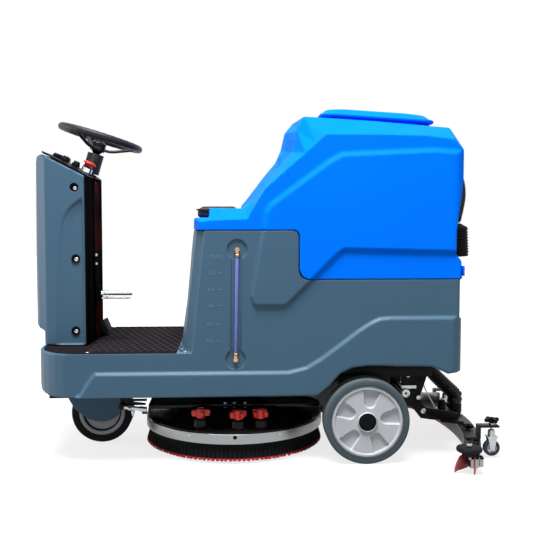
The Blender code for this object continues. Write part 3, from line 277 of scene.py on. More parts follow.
M = {
    "blue": shader("poly_blue", (0.0, 0.16, 0.92), 0.5, vary=0.05, patch=3.0, grain=520, bump=0.1,
                   specular=0.015, round_by=0.003),
    "grey": shader("poly_grey", (0.042, 0.096, 0.152), 0.46, vary=0.07, patch=3.0, grain=620, bump=0.16,
                   specular=0.24, round_by=0.0025),
    "black": shader("plastic_black", (0.003, 0.003, 0.0038), 0.38, vary=0.2, patch=14, grain=1400, bump=0.15,
                    specular=0.05),
    "panel": shader("plastic_panel", (0.003, 0.003, 0.0038), 0.5, vary=0.2, patch=14, grain=900, bump=0.1,
                    specular=0.0),
    "gloss": shader("plastic_gloss", (0.003, 0.003, 0.004), 0.14, vary=0.3, patch=10, grain=300, bump=0.03,
                    rough_vary=0.04, specular=0.14),
    "grip": shader("rim_grip", (0.011, 0.012, 0.015), 0.46, vary=0.15, patch=20, grain=1100, bump=0.35,
                   specular=0.22),
    "steel": shader("coat_black", (0.006, 0.006, 0.007), 0.34, vary=0.25, patch=16, grain=700, bump=0.25,
                    specular=0.08, tint=speckle((0.02, 0.018, 0.016), 60, 0.62, 0.75)),
    "chrome": shader("plate_bright", (0.78, 0.77, 0.75), 0.16, metal=1.0, vary=0.08, patch=18, grain=500,
                     bump=0.04),
    "zinc": shader("plate_zinc", (0.44, 0.45, 0.46), 0.3, metal=1.0, vary=0.12, patch=60, grain=900,
                   bump=0.08),
    "alu": shader("strip_aluminium", (0.27, 0.28, 0.285), 0.34, metal=1.0, vary=0.05, patch=9, grain=900,
                  bump=0.04, height=brushed(2)),
    "rubber": shader("rubber_black", (0.005, 0.005, 0.006), 0.6, vary=0.25, patch=22, grain=1200, bump=0.35,
                     specular=0.08, tint=speckle((0.012, 0.012, 0.011), 35, 0.6, 0.8)),
    "tyre": shader("rubber_grey", (0.05, 0.073, 0.088), 0.7, vary=0.1, patch=20, grain=900, bump=0.3,
                   specular=0.24, tint=speckle((0.1, 0.115, 0.12), 26, 0.56, 0.82)),
    "tread": shader("rubber_tread", (0.13, 0.145, 0.145), 0.8, vary=0.2, patch=40, grain=500, bump=0.6,
                    depth=0.0008, specular=0.2),
    "hub": shader("plastic_silver", (0.45, 0.465, 0.49), 0.34, vary=0.05, patch=12, grain=1500, bump=0.06,
                  specular=0.25, tint=speckle((0.37, 0.385, 0.41), 9, 0.5, 0.8)),
    "red": shader("plastic_red", (0.8, 0.026, 0.014), 0.3, vary=0.12, patch=40, grain=900, bump=0.08,
                  specular=0.5),
    "blade": shader("polyurethane_red", (0.62, 0.07, 0.09), 0.42, vary=0.1, patch=12, grain=600, bump=0.1),
    "brass": shader("brass", (0.52, 0.3, 0.15), 0.28, metal=1.0, vary=0.15, patch=90, grain=900, bump=0.06),
    "tube": shader("tube_clear", (0.2, 0.23, 0.62), 0.12, vary=0.1, patch=30, grain=400, bump=0.02,
                   clear=0.35),
    "bristle": shader("bristle_black", (0.004, 0.004, 0.005), 0.8, specular=0.08, vary=0.4, patch=60,
                      grain=700, bump=0.3),
    "tip": shader("bristle_red", (0.36, 0.012, 0.012), 0.6, vary=0.3, patch=300, grain=2200, bump=0.5),
    "vinyl": shader("vinyl_black", (0.008, 0.008, 0.01), 0.4, vary=0.15, patch=12, grain=1500, bump=0.1,
                    height=cells(420, 0.00018)),
    "navy": shader("rubber_navy", (0.022, 0.03, 0.06), 0.55, vary=0.15, patch=60, grain=900, bump=0.2),
    "mat": shader("mat_ribbed", (0.01, 0.008, 0.01), 0.7, vary=0.25, patch=30, grain=900, bump=0.25,
                  specular=0.0),
    # rib: the mat's ridges are coloured lighter than the mat, a painted highlight on its pattern.
    "rib": shader("mat_rib", (0.03, 0.025, 0.027), 0.62, vary=0.3, patch=40, grain=900, bump=0.25,
                  specular=0.05),
    "sleeve": shader("sleeve_ribbed", (0.011, 0.011, 0.012), 0.42, vary=0.2, patch=30, grain=900, bump=0.1,
                     height=waves(120, 0.0008, 52)),
    "teal": shader("cap_teal", (0.012, 0.16, 0.13), 0.16, vary=0.15, patch=80, grain=400, bump=0.03,
                   specular=0.6),
    "screen": shader("screen_dark", (0.012, 0.01, 0.016), 0.08, vary=0.3, patch=30, grain=200, bump=0.01),
    # amber: a patchy reddish colour on the black column panel that paints a sheen on it, not a colour of its
    # own.
    "amber": shader("panel_amber_painted_sheen", (0.06, 0.01, 0.006), 0.5, vary=0.5, patch=6, grain=200, bump=0.02,
                    specular=0.0, tint=speckle((0.01, 0.007, 0.006), 5, 0.42, 0.62)),
    "cable": shader("cable_steel", (0.42, 0.41, 0.4), 0.38, metal=1.0, vary=0.2, patch=200, grain=900,
                    bump=0.1, height=waves(380, 0.0004, 30)),
    "blue_hose": shader("hose_blue", (0.01, 0.035, 0.3), 0.35, vary=0.1, patch=40, grain=800, bump=0.1),
    "cream": shader("plastic_white", (0.7, 0.7, 0.68), 0.35, vary=0.05, patch=40, grain=900, bump=0.05),
    "scale": shader("poly_scale", (0.105, 0.175, 0.235), 0.46, vary=0.07, patch=3.0, grain=620, bump=0.16),
    "hose": shader("hose_black", (0.004, 0.004, 0.005), 0.3, vary=0.2, patch=30, grain=700, bump=0.1,
                   specular=0.22),
}


# ---------------------------------------------------------------- shape helpers
def raw(verts, faces, name="piece"):
    mesh = bpy.data.meshes.new(name)
    mesh.from_pydata([tuple(v) for v in verts], [], faces)
    bm = bmesh.new()
    bm.from_mesh(mesh)
    bmesh.ops.recalc_face_normals(bm, faces=bm.faces)
    bm.to_mesh(mesh)
    bm.free()
    return linked(name, mesh)


def loft(rings, loop=False):
    """Skin over rings of as many points each; it is capped at both ends, or closed in a loop."""
    count = len(rings[0])
    verts = [v for ring in rings for v in ring]
    faces = []
    pairs = [(k, k + 1) for k in range(len(rings) - 1)]
    if loop:
        pairs.append((len(rings) - 1, 0))
    for a, b in pairs:
        for k in range(count):
            j = (k + 1) % count
            faces.append((a * count + k, a * count + j, b * count + j, b * count + k))
    if not loop:
        faces.append(tuple(range(count))[::-1])
        faces.append(tuple(range((len(rings) - 1) * count, len(rings) * count)))
    return raw(verts, faces)


def axes_of(direction):
    """Two directions across a third, and that one at length 1."""
    w = Vector(direction).normalized()
    u = Vector((0, 0, 1)).cross(w)
    u = Vector((1, 0, 0)) if u.length < 1e-4 else u.normalized()
    return u, w.cross(u), w


def lathe(profile, centre, axis, seg=48, ring=False):
    """profile is (radius, height along axis); ring closes it on itself, otherwise both ends are capped."""
    u, v, w = axes_of(axis)
    c = Vector(centre)
    rings = []
    for k in range(seg):
        a = 2 * math.pi * k / seg
        d = u * math.cos(a) + v * math.sin(a)
        rings.append([c + d * r + w * h for r, h in profile])
    verts = [p for r in rings for p in r]
    n = len(profile)
    faces = []
    spans = [(k, k + 1) for k in range(n - 1)]
    if ring:
        spans.append((n - 1, 0))
    for a in range(seg):
        b = (a + 1) % seg
        for k, j in spans:
            faces.append((a * n + k, b * n + k, b * n + j, a * n + j))
    if not ring:
        faces.append(tuple(a * n for a in range(seg)))
        faces.append(tuple(a * n + n - 1 for a in range(seg))[::-1])
    return raw(verts, faces)


def corner(a, b, c, radius, seg):
    """Points of a rounded corner at b, between its neighbours a and c."""
    r = min(radius, (a - b).length * 0.45, (c - b).length * 0.45)
    p0 = b + (a - b).normalized() * r
    p1 = b + (c - b).normalized() * r
    steps = [k / seg for k in range(seg + 1)]
    return [tuple(p0 * (1 - t) ** 2 + b * 2 * t * (1 - t) + p1 * t ** 2) for t in steps]


def rounded(profile, radius, seg=3):
    """Rounds the corners of an open polyline."""
    pts = [Vector(p) for p in profile]
    out = [tuple(pts[0])]
    for a, b, c in zip(pts, pts[1:], pts[2:]):
        out += corner(a, b, c, radius, seg)
    return out + [tuple(pts[-1])]


def rounded_loop(points, radius, seg=4):
    """Rounds the corners of a closed polyline."""
    pts = [Vector(p) for p in points]
    out = []
    for k, b in enumerate(pts):
        out += corner(pts[k - 1], b, pts[(k + 1) % len(pts)], radius, seg)
    return out


def turns(count):
    """Angles that divide the full circle evenly."""
    return np.linspace(0, 2 * math.pi, count, endpoint=False)


def round_z(angle):
    """Outward and sideways directions at an angle about Z."""
    out = Vector((math.cos(angle), math.sin(angle), 0))
    return out, Vector((-out.y, out.x, 0))


def mirrored(half):
    """Half an outline and then its mirror image, with the sign of the second number turned."""
    return half + [(x, -y) for x, y in reversed(half)]


def slab(outline, plane, lo, hi):
    """Prism of a flat outline; plane is the axis that it is extruded along."""
    put = {
        "x": lambda p, h: (h, p[0], p[1]),
        "y": lambda p, h: (p[0], h, p[1]),
        "z": lambda p, h: (p[0], p[1], h),
    }[plane]
    return loft([[put(p, lo) for p in outline], [put(p, hi) for p in outline]])


def block(x0, x1, y0, y1, z0, z1):
    return slab([(x0, y0), (x1, y0), (x1, y1), (x0, y1)], "z", z0, z1)


def spline(points, n):
    """Catmull-Rom curve through points, n points evenly spaced by length."""
    p = [Vector(q) for q in points]
    ext = [p[0] * 2 - p[1]] + p + [p[-1] * 2 - p[-2]]
    dense = []
    for k in range(1, len(ext) - 2):
        a, b, c, d = ext[k - 1:k + 3]
        for j in range(24):
            t = j / 24
            bend = (2 * a - 5 * b + 4 * c - d) * t * t
            dense.append(0.5 * ((2 * b) + (c - a) * t + bend + (3 * b - a - 3 * c + d) * t ** 3))
    dense.append(p[-1])
    run = [0.0]
    for a, b in zip(dense, dense[1:]):
        run.append(run[-1] + (b - a).length)
    out = []
    k = 0
    for i in range(n):
        want = run[-1] * i / (n - 1)
        while k < len(run) - 2 and run[k + 1] < want:
            k += 1
        t = (want - run[k]) / max(run[k + 1] - run[k], 1e-9)
        out.append(dense[k].lerp(dense[k + 1], t))
    return out, run[-1]


def pipe(points, radius, n=24, seg=16):
    """Tube along a curve through points; radius is a number or a function of the distance run."""
    path = spline(points, n)[0]
    rings = []
    run = 0.0
    tangent = (path[1] - path[0]).normalized()
    u = axes_of(tangent)[0]
    for k, p in enumerate(path):
        nxt = path[min(k + 1, len(path) - 1)]
        prv = path[max(k - 1, 0)]
        tangent = (nxt - prv).normalized()
        u = (u - tangent * u.dot(tangent)).normalized()
        v = tangent.cross(u)
        if k:
            run += (p - path[k - 1]).length
        r = radius(run) if callable(radius) else radius
        rings.append([p + u * r * math.cos(2 * math.pi * j / seg) + v * r * math.sin(2 * math.pi * j / seg)
                      for j in range(seg)])
    return loft(rings)


def baked(ob):
    """Applies the modifiers of ob to its mesh."""
    graph = bpy.context.evaluated_depsgraph_get()
    graph.update()
    mesh = bpy.data.meshes.new_from_object(ob.evaluated_get(graph))
    ob.modifiers.clear()
    ob.data = mesh
    return ob


def modify(ob, kind, **settings):
    """Adds a modifier with its settings."""
    mod = ob.modifiers.new(kind.lower(), kind)
    for key, value in settings.items():
        setattr(mod, key, value)
    return mod


def boolean(ob, other, operation="DIFFERENCE"):
    modify(ob, "BOOLEAN", operation=operation, solver="EXACT", object=other)
    baked(ob)
    bpy.data.objects.remove(other, do_unlink=True)
    return ob


def merged(*obs):
    """One object of several meshes, which may stand apart."""
    bm = bmesh.new()
    for ob in obs:
        bm.from_mesh(ob.data)
    bm.to_mesh(obs[0].data)
    bm.free()
    for ob in obs[1:]:
        bpy.data.objects.remove(ob, do_unlink=True)
    return obs[0]


def bevelled(ob, width=0.0012, seg=2, angle=32):
    modify(ob, "BEVEL", width=width, segments=seg, limit_method="ANGLE", angle_limit=math.radians(angle))
    return baked(ob)


def cad_copy(node, flat=0.6):
    """A copy of a CAD node's mesh, welded and with its faces that are flat to that many degrees joined up."""
    mesh = frame["nodes"][node].data.copy()
    mesh.materials.clear()
    bm = bmesh.new()
    bm.from_mesh(mesh)
    bmesh.ops.remove_doubles(bm, verts=bm.verts, dist=1e-5)
    if flat:
        bmesh.ops.dissolve_limit(bm, angle_limit=math.radians(flat), verts=bm.verts, edges=bm.edges)
    bm.to_mesh(mesh)
    bm.free()
    return linked(node + "_copy", mesh)


def melted(ob, voxel, passes, keep):
    """Remeshes and smooths ob into soft moulded edges; keep is the share of the faces that stay."""
    modify(ob, "REMESH", mode="VOXEL", voxel_size=voxel * 1.0)
    modify(ob, "SMOOTH", factor=0.5, iterations=passes)
    modify(ob, "DECIMATE", ratio=keep)
    return baked(ob)


def world(ob):
    """Moves a shape from the drawing frame to the world."""
    ob.data.transform(Matrix.Translation((CENTRE_X, 0, 0)))
    return ob


def place(name, ob, mat, body, replaces="", shift=True, angle=38):
    """Names ob, gives it its finish, and makes it ride on its body."""
    if shift:
        world(ob)
    ob.name = name
    ob.data.name = name
    ob.data.materials.clear()
    ob.data.materials.append(M[mat])
    ob.data.shade_smooth()
    ob.data.set_sharp_from_angle(angle=math.radians(angle))
    if replaces:
        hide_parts(replaces)
    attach(ob, body)
    return ob


def refined(node, mat, body, width=0.001):
    """The CAD node's own shape with its edges rounded."""
    return place(node + "_shape", bevelled(cad_copy(node), width), mat, body, node, shift=False)


def bolt(name, place_at, axis, radius=0.005, mat="zinc", body="machine", height=0.003):
    """Button head with a round socket, its underside at place_at."""
    head = turned([(0.0005, height * 0.55), (radius * 0.48, height * 0.55), (radius * 0.5, height),
                   (radius * 0.8, height), (radius, height * 0.45), (radius, -0.0008)], radius * 0.12, 2,
                  place_at, axis, 20)
    return place(name, head, mat, body)


def hexagon(name, place_at, axis, radius, height, mat="zinc", body="machine"):
    head = lathe([(radius * 0.2, height), (radius * 0.86, height), (radius, height * 0.86), (radius, 0.0),
                  (radius * 0.2, 0.0)], place_at, axis, 6)
    return place(name, bevelled(head, radius * 0.06, 1), mat, body, angle=25)


def turned(profile, radius, steps, centre, axis, seg=48, ring=False):
    """A lathe shape whose profile has rounded corners."""
    return lathe(rounded(profile, radius, steps), centre, axis, seg, ring)


def rod(p0, p1, radius, seg=24):
    """Round bar from p0 to p1, with its ends a little chamfered."""
    run = Vector(p1) - Vector(p0)
    edge = radius * 0.04
    return lathe([(radius * 0.02, 0.0), (radius * 0.96, 0.0), (radius, edge), (radius, run.length - edge),
                  (radius * 0.96, run.length), (radius * 0.02, run.length)], p0, run, seg)


def arc_x(y):
    """Drawing X of the squeegee's arc at a distance from its middle."""
    return ARC_CX + math.sqrt(ARC_R * ARC_R - y * y)


def arc_strip(r0, r1, z0, z1, half, n=49):
    """Strip along the squeegee's arc, to the width half on each side."""
    a = math.asin(half / ARC_R)
    rings = []
    for t in np.linspace(-a, a, n):
        c, s = math.cos(t), math.sin(t)
        rings.append([(ARC_CX + r * c, r * s, z) for r, z in ((r0, z0), (r1, z0), (r1, z1), (r0, z1))])
    return loft(rings)


def on_dash(x, y=0.0):
    """Point on the dashboard's sloping top, and the direction out of it."""
    t = (x - DASH_A[0]) / (DASH_B[0] - DASH_A[0])
    n = Vector((DASH_A[1] - DASH_B[1], 0, DASH_B[0] - DASH_A[0])).normalized()
    return Vector((x, y, DASH_A[1] + (DASH_B[1] - DASH_A[1]) * t + 0.0055)), n


# ---------------------------------------------------------------- tanks, lid and gauge
def make_tanks():
    lower = melted(cad_copy("solution_tank", 0.0), 0.003, 1, 0.3)
    level, ramp = 0.17, 0.66
    for v in lower.data.vertices:
        depth = (HALF_W - abs(v.co.y)) / STEP
        if 0.0 < depth < 1.0:
            crisp = min(max((depth - level) / ramp, 0.0), 1.0)
            v.co.y = math.copysign(HALF_W - STEP * crisp, v.co.y)
    marks = None
    r = 0.0295
    for x, z in (GAUGE_TOP, GAUGE_BOTTOM):
        cup = turned([(0.001, 0.0), (r - 0.002, 0.0), (r, 0.0015), (r + 0.0004, 0.05)], 0.001, 2,
                     (x, -0.2862, z), (0, -1, 0), 56)
        marks = boolean(marks, cup, "UNION") if marks else cup
    slot = slab([(-0.1035, 0.628), (-0.0725, 0.628), (-0.077, 0.324), (-0.108, 0.324)], "y", -0.34, -0.2868)
    boolean(lower, world(boolean(marks, slot, "UNION")))
    place("solution_tank_shell", lower, "grey", "machine", "solution_tank", shift=False, angle=50)

    upper = melted(cad_copy("recovery_tank", 0.0), 0.003, 3, 0.3)
    front = cad_tree("recovery_tank")
    for s in (-1, 1):
        for k in range(4):
            groove = []
            for t in np.linspace(0, 1, 9):
                y, z = s * (0.08 + 0.026 * k + 0.01 * t), 0.88 + 0.086 * t
                face = front.ray_cast(Vector((-0.5, y, z)), Vector((1, 0, 0)))[0]
                groove.append((face.x - 0.0002, y, z))
            boolean(upper, pipe(groove, 0.004, 14, 8))
    place("recovery_tank_shell", upper, "blue", "recovery", "recovery_tank", shift=False, angle=50)
    lid = melted(cad_copy("tank_lid"), 0.0028, 5, 0.6)
    place("tank_lid_shell", lid, "blue", "lid", "tank_lid", shift=False, angle=45)


def make_gauge():
    refined("gauge_fitting_top", "brass", "machine", 0.0006)
    refined("gauge_fitting_bottom", "brass", "machine", 0.0006)
    for name, (x, z), way in (("top", GAUGE_TOP, -1), ("bottom", GAUGE_BOTTOM, 1)):
        nut = lathe([(0.0045, 0.0), (0.0078, 0.0), (0.0082, 0.0006), (0.0082, 0.0052), (0.0078, 0.0058),
                     (0.0045, 0.0058)], (x, -0.2925, z + way * 0.0135), (0, 0, way), 6)
        place("gauge_nut_" + name, nut, "brass", "machine", angle=25)
    refined("level_tube", "tube", "machine", 0.0004)


def lettering(text, size, x_right, z_mid):
    """Raised letters on the left wall, ending at x_right."""
    curve = bpy.data.curves.new("mark", "FONT")
    curve.body = text
    curve.size = size
    curve.align_x = "RIGHT"
    curve.align_y = "CENTER"
    curve.extrude = 0.0005
    curve.resolution_u = 3
    ob = linked("mark", curve)
    graph = bpy.context.evaluated_depsgraph_get()
    graph.update()
    mesh = bpy.data.meshes.new_from_object(ob.evaluated_get(graph))
    bpy.data.objects.remove(ob, do_unlink=True)
    bm = bmesh.new()
    bm.from_mesh(mesh)
    bmesh.ops.remove_doubles(bm, verts=bm.verts, dist=1e-6)
    bmesh.ops.recalc_face_normals(bm, faces=bm.faces)
    bm.to_mesh(mesh)
    bm.free()
    mesh.transform(Matrix.Rotation(math.pi / 2, 4, "X"))
    mesh.transform(Matrix.Translation((x_right, -0.2911, z_mid)))
    return linked("mark", mesh)


def make_scale():
    parts = [lettering("MAX", 0.0185, -0.127, 0.615)]
    for text, z in (("70L", 0.568), ("60L", 0.52), ("50L", 0.473), ("40L", 0.419), ("30L", 0.369)):
        lean = (0.615 - z) * 0.035
        parts.append(lettering(text, 0.016, -0.147 - lean, z))
        parts.append(block(-0.141 - lean, -0.129 - lean, -0.2916, -0.2905, z - 0.0012, z + 0.0012))
    place("level_scale", merged(*parts), "scale", "machine")


# ---------------------------------------------------------------- front column
def shroud_solid():
    """The column's front cover, with walls thick enough for its sunk side panels."""
    side = [(-0.7225, 0.394), (-0.68, 0.38), (-0.68, 0.3375), (-0.5505, 0.3375), (-0.5505, 0.856),
            (-0.684, 0.9235), (-0.702, 0.916), (-0.708, 0.9)]
    nose = mirrored([(-0.56, -0.15), (-0.64, -0.146), (-0.672, -0.138), (-0.7, -0.112), (-0.716, -0.07),
                     (-0.7225, -0.025)])
    nose += [(-0.53, 0.15), (-0.53, -0.15)]
    shell = slab(side, "y", -0.15, 0.15)
    boolean(shell, slab(nose, "z", 0.3, 1.0), "INTERSECT")
    room = [(-0.708, 0.41), (-0.666, 0.396), (-0.666, 0.3), (-0.5, 0.3), (-0.5, 0.95), (-0.6, 0.95),
            (-0.685, 0.905), (-0.698, 0.893)]
    hollow = slab(room, "y", -0.136, 0.136)
    inside = [(-0.45, -0.136), (-0.64, -0.132), (-0.664, -0.124), (-0.69, -0.1), (-0.708, -0.06)]
    boolean(hollow, slab(inside + [(-0.712, 0.0)] + mirrored(inside)[len(inside):], "z", 0.2, 1.0),
            "INTERSECT")
    return boolean(shell, hollow)


def make_column():
    shell = shroud_solid()
    outer = [(-0.5527, 0.7904), (-0.5787, 0.7761), (-0.6025, 0.7549), (-0.6183, 0.7288), (-0.6279, 0.6924),
             (-0.6327, 0.6303), (-0.6477, 0.3387)]
    inner = [(-0.5492, 0.7589), (-0.5742, 0.7419), (-0.5926, 0.7157), (-0.6021, 0.6817), (-0.6056, 0.6296),
             (-0.611, 0.53), (-0.619, 0.3387)]
    top = [spline([(x, 0, z) for x, z in outer], 30)[0], spline([(x, 0, z) for x, z in inner], 30)[0]]
    for s in (-1, 1):
        rings = []
        for a, b in zip(*top):
            m = a.lerp(b, 0.22)
            ax, mx, bx = min(a.x, -0.5568), min(m.x, -0.5566), min(b.x, -0.5564)
            rings.append([(ax, s * 0.158, a.z), (ax, s * 0.1495, a.z), (mx, s * 0.144, m.z),
                          (bx, s * 0.1405, b.z), (-0.556, s * 0.1405, b.z), (-0.556, s * 0.158, a.z)])
        boolean(shell, loft(rings))
    melted(world(shell), 0.0026, 4, 0.6)
    for s in (-1, 1):
        for z, x in SHROUD_BOLTS:
            cup = lathe([(0.001, 0.0), (0.0125, 0.0), (0.0135, 0.001), (0.0135, 0.04)], (x, s * 0.1405, z),
                        (0, s, 0), 32)
            boolean(shell, world(cup))
    place("front_shroud_shell", shell, "grey", "machine", "front_shroud", shift=False, angle=45)
    for s, side in SIDES:
        for k, (z, x) in enumerate(SHROUD_BOLTS):
            lining = lathe([(0.001, 0.0), (0.0118, 0.0), (0.0118, 0.0034), (0.0133, 0.0034),
                            (0.0133, -0.0002), (0.001, -0.0002)], (x, s * 0.1407, z), (0, s, 0), 32)
            place("shroud_cup_%s_%d" % (side, k + 1), lining, "black", "machine")
            bolt("shroud_bolt_%s_%d" % (side, k + 1), (x + 0.002, s * 0.1409, z - 0.002), (0, s, 0), 0.0068,
                 "zinc", height=0.003)

    refined("column_panel", "panel", "machine", 0.0012)
    # Thin strip on the column's rear panel whose reddish colour is a painted sheen.
    strip = slab(rounded_loop([(-0.03, 0.342), (0.088, 0.342), (0.088, 0.845), (-0.03, 0.845)], 0.022), "x",
                 PANEL_X + 0.0002, PANEL_X + 0.0026)
    place("column_panel_painted_sheen", bevelled(strip, 0.0008), "amber", "machine")
    plate = cad_copy("dashboard")
    for v in plate.data.vertices:
        v.co.x = min(v.co.x, PANEL_X + CENTRE_X - 0.004)
    place("dashboard_shape", plate, "black", "machine", "dashboard", shift=False)
    refined("display_bezel", "black", "machine", 0.001)
    lo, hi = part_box("display_bezel")
    x_mid = (lo.x + hi.x) / 2 - CENTRE_X
    glass = block(-0.016, 0.016, -0.045, 0.045, 0.0, 0.0008)
    tilt = Matrix.Rotation(math.atan2(DASH_A[1] - DASH_B[1], DASH_B[0] - DASH_A[0]), 4, "Y")
    glass.data.transform(tilt)
    glass.data.transform(Matrix.Translation((x_mid, (lo.y + hi.y) / 2, 0)))
    lift = surface_height("display_bezel", x_mid + CENTRE_X, (lo.y + hi.y) / 2, hi.z)
    glass.data.transform(Matrix.Translation((0, 0, lift + 0.0001)))
    place("display_glass", glass, "screen", "machine")


def cad_tree(node):
    mesh = frame["nodes"][node].data
    return BVHTree.FromPolygons([v.co.copy() for v in mesh.vertices],
                                [tuple(p.vertices) for p in mesh.polygons])


def surface_height(node, x, y, top):
    """World height at which a ray from above meets the CAD node."""
    point = cad_tree(node).ray_cast(Vector((x, y, top + 0.2)), Vector((0, 0, -1)))[0]
    return point.z if point else top


def make_controls():
    for name, x, body in (("rocker_front", -0.621, "knob_front"), ("rocker_rear", -0.589, "knob_rear")):
        lo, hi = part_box(name)
        refined(name, "black", body, 0.0008)
        y = (lo.y + hi.y) / 2
        n = on_dash(x)[1]
        c = Vector(((lo.x + hi.x) / 2 - CENTRE_X, y, (lo.z + hi.z) / 2))
        cap_r = 0.0098
        top = c + n * (surface_gap(name, c + Vector((CENTRE_X, 0, 0)), n))
        cap = turned([(0.0006, 0.0018), (cap_r * 0.7, 0.0014), (cap_r, 0.0001), (cap_r, -0.001)], 0.0006, 2,
                     top, n, 32)
        place(name + "_cap", cap, "teal", body)
        mark = block(-0.0012, 0.0012, -0.0085, -0.0005, 0.0, 0.0006)
        place(name + "_mark", laid(mark, top + n * 0.0012, n), "cream", body)
    sleeve = cad_copy("column_sleeve")
    place("column_sleeve_shape", bevelled(sleeve, 0.001), "sleeve", "machine", "column_sleeve", shift=False)
    p, n = on_dash(-0.556, -0.083)
    head = turned([(0.0005, 0.0345), (0.012, 0.034), (0.0185, 0.031), (0.02, 0.0285), (0.0196, 0.0262),
                   (0.015, 0.0245), (0.012, 0.0232), (0.0112, 0.0145), (0.0005, 0.0145)], 0.0014, 3, p, n, 48)
    place("e_stop_mushroom", head, "red", "e_stop", "e_stop_head")
    ring = lathe([(0.0122, 0.0), (0.0178, 0.0), (0.0178, 0.0016), (0.0168, 0.0022), (0.0168, 0.012),
                  (0.016, 0.013), (0.0136, 0.013), (0.0136, 0.0)], p, n, 48, ring=True)
    place("e_stop_ring", ring, "chrome", "machine")


def laid(ob, point, normal):
    """Turns a shape made around the origin, up +Z, onto point with its up along normal."""
    turn = Vector((0, 0, 1)).rotation_difference(Vector(normal)).to_matrix().to_4x4()
    ob.data.transform(Matrix.Translation(point) @ turn)
    return ob


def surface_gap(node, centre, n):
    """How far along n the CAD node's surface is from its centre."""
    point = cad_tree(node).ray_cast(centre + n * 0.2, -n)[0]
    return (point - centre).dot(n) if point else 0.0


def make_steering():
    axis = STEER_AXIS
    fwd = Vector((math.cos(STEER_TILT), 0, -math.sin(STEER_TILT)))
    side = Vector((0, 1, 0))
    c = STEER_C
    rings = []
    rim_r, tube_r, tube_h = 0.1255, 0.0115, 0.0113
    count = 120
    for k in range(count):
        a = 2 * math.pi * k / count
        d = fwd * math.cos(a) + side * math.sin(a)
        grip = 0.0002 * (1 if (k // 2) % 2 else -1)
        rings.append([c + d * (rim_r + (tube_r + grip) * math.cos(t)) + axis * (tube_h + grip) * math.sin(t)
                      for t in turns(20)])
    place("steering_rim", loft(rings, loop=True), "grip", "steering", "steering_wheel", angle=60)
    for k, ang in enumerate((0.0, 120.0, 240.0)):
        a = math.radians(ang)
        d = fwd * math.cos(a) + side * math.sin(a)
        e = axis.cross(d)
        path = spline([c - axis * 0.034, c - axis * 0.034 + d * 0.04, c - axis * 0.02 + d * 0.08,
                       c - axis * 0.003 + d * 0.12], 22)[0]
        spoke = []
        for j, q in enumerate(path):
            t = (path[min(j + 1, 21)] - path[max(j - 1, 0)]).normalized()
            up = e.cross(t)
            wide = 0.0075 + 0.002 * abs(j - 11) / 11
            spoke.append([q + e * wide * math.cos(u) + up * 0.0048 * math.sin(u) for u in turns(16)])
        place("steering_spoke_%d" % (k + 1), loft(spoke), "grip", "steering", angle=60)
    hub = turned([(0.0006, -0.01), (0.015, -0.011), (0.0225, -0.016), (0.024, -0.02), (0.024, -0.043),
                  (0.019, -0.044), (0.012, -0.05), (0.011, -0.056), (0.011, -0.148), (0.0006, -0.148)],
                 0.0016, 3, c, axis, 40)
    place("steering_hub", hub, "gloss", "steering")
    lug = block(-0.015, 0.015, -0.03, -0.0225, -0.003, 0.003)
    place("steering_lug", laid(bevelled(lug, 0.0008), c - axis * 0.034, axis), "grip", "steering")


def make_pedals():
    refined("accelerator_pedal", "rubber", "accelerator", 0.0012)
    a = Vector((-0.512, 0.0, 0.355))
    b = Vector((-0.527, 0.0, 0.39))
    up = Vector((b.z - a.z, 0, a.x - b.x)).normalized()
    up = up if up.z > 0 else -up
    run = b - a
    ribs = []
    for k in range(7):
        p = a + run * (0.1 + 0.13 * k)
        q = p + run.normalized() * 0.0024
        ribs.append(loft([[(p.x, y, p.z), (q.x, y, q.z), (q.x + up.x * 0.0014, y, q.z + up.z * 0.0014),
                           (p.x + up.x * 0.0014, y, p.z + up.z * 0.0014)] for y in (0.044, 0.116)]))
    place("pedal_ribs", merged(*ribs), "rubber", "accelerator")
    lever = slab([(-0.5355, 0.628), (-0.5215, 0.628), (-0.5155, 0.468), (-0.5295, 0.468)], "y", -0.08, -0.04)
    place("lift_lever_plate", bevelled(lever, 0.0015), "panel", "lift_pedal", "lift_lever")
    bar = rod((-0.524, -0.06, 0.49), (-0.419, -0.06, 0.49), 0.008, 28)
    place("lift_lever_bar", bar, "zinc", "lift_pedal")
    place("lift_lever_rod", rod((-0.523, -0.06, 0.4752), (-0.425, -0.06, 0.4752), 0.0038, 20), "zinc",
          "lift_pedal")
    for k, (x, z, r) in enumerate(((-0.513, 0.488, 0.0048), (-0.498, 0.48, 0.004),
                                   (-0.5115, 0.4735, 0.0036))):
        nub = turned([(0.0004, 0.004), (r * 0.8, 0.0035), (r, 0.0), (0.0004, -0.001)], 0.0008, 2,
                     (x, -0.068, z), (0, -1, 0), 20)
        place("lift_lever_nub_%d" % (k + 1), nub, "cream", "lift_pedal")
    for k, z in enumerate((0.612, 0.585)):
        hexagon("lift_lever_bolt_%d" % (k + 1), (-0.528, -0.0802, z), (0, -1, 0), 0.005, 0.003, "zinc",
                "lift_pedal")


# ---------------------------------------------------------------- platform and seat
def make_platform():
    refined("floor_mat", "mat", "machine", 0.001)
    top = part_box("floor_mat")[1].z
    make_mat_ribs(top)
    for k, (x, y) in enumerate(((-0.525, -0.268), (-0.24, -0.268), (-0.525, 0.268), (-0.24, 0.268))):
        z = surface_height("floor_mat", x + CENTRE_X, y, top)
        bolt("mat_screw_%d" % (k + 1), (x, y, z), (0, 0, 1), 0.005, "zinc", height=0.0018)


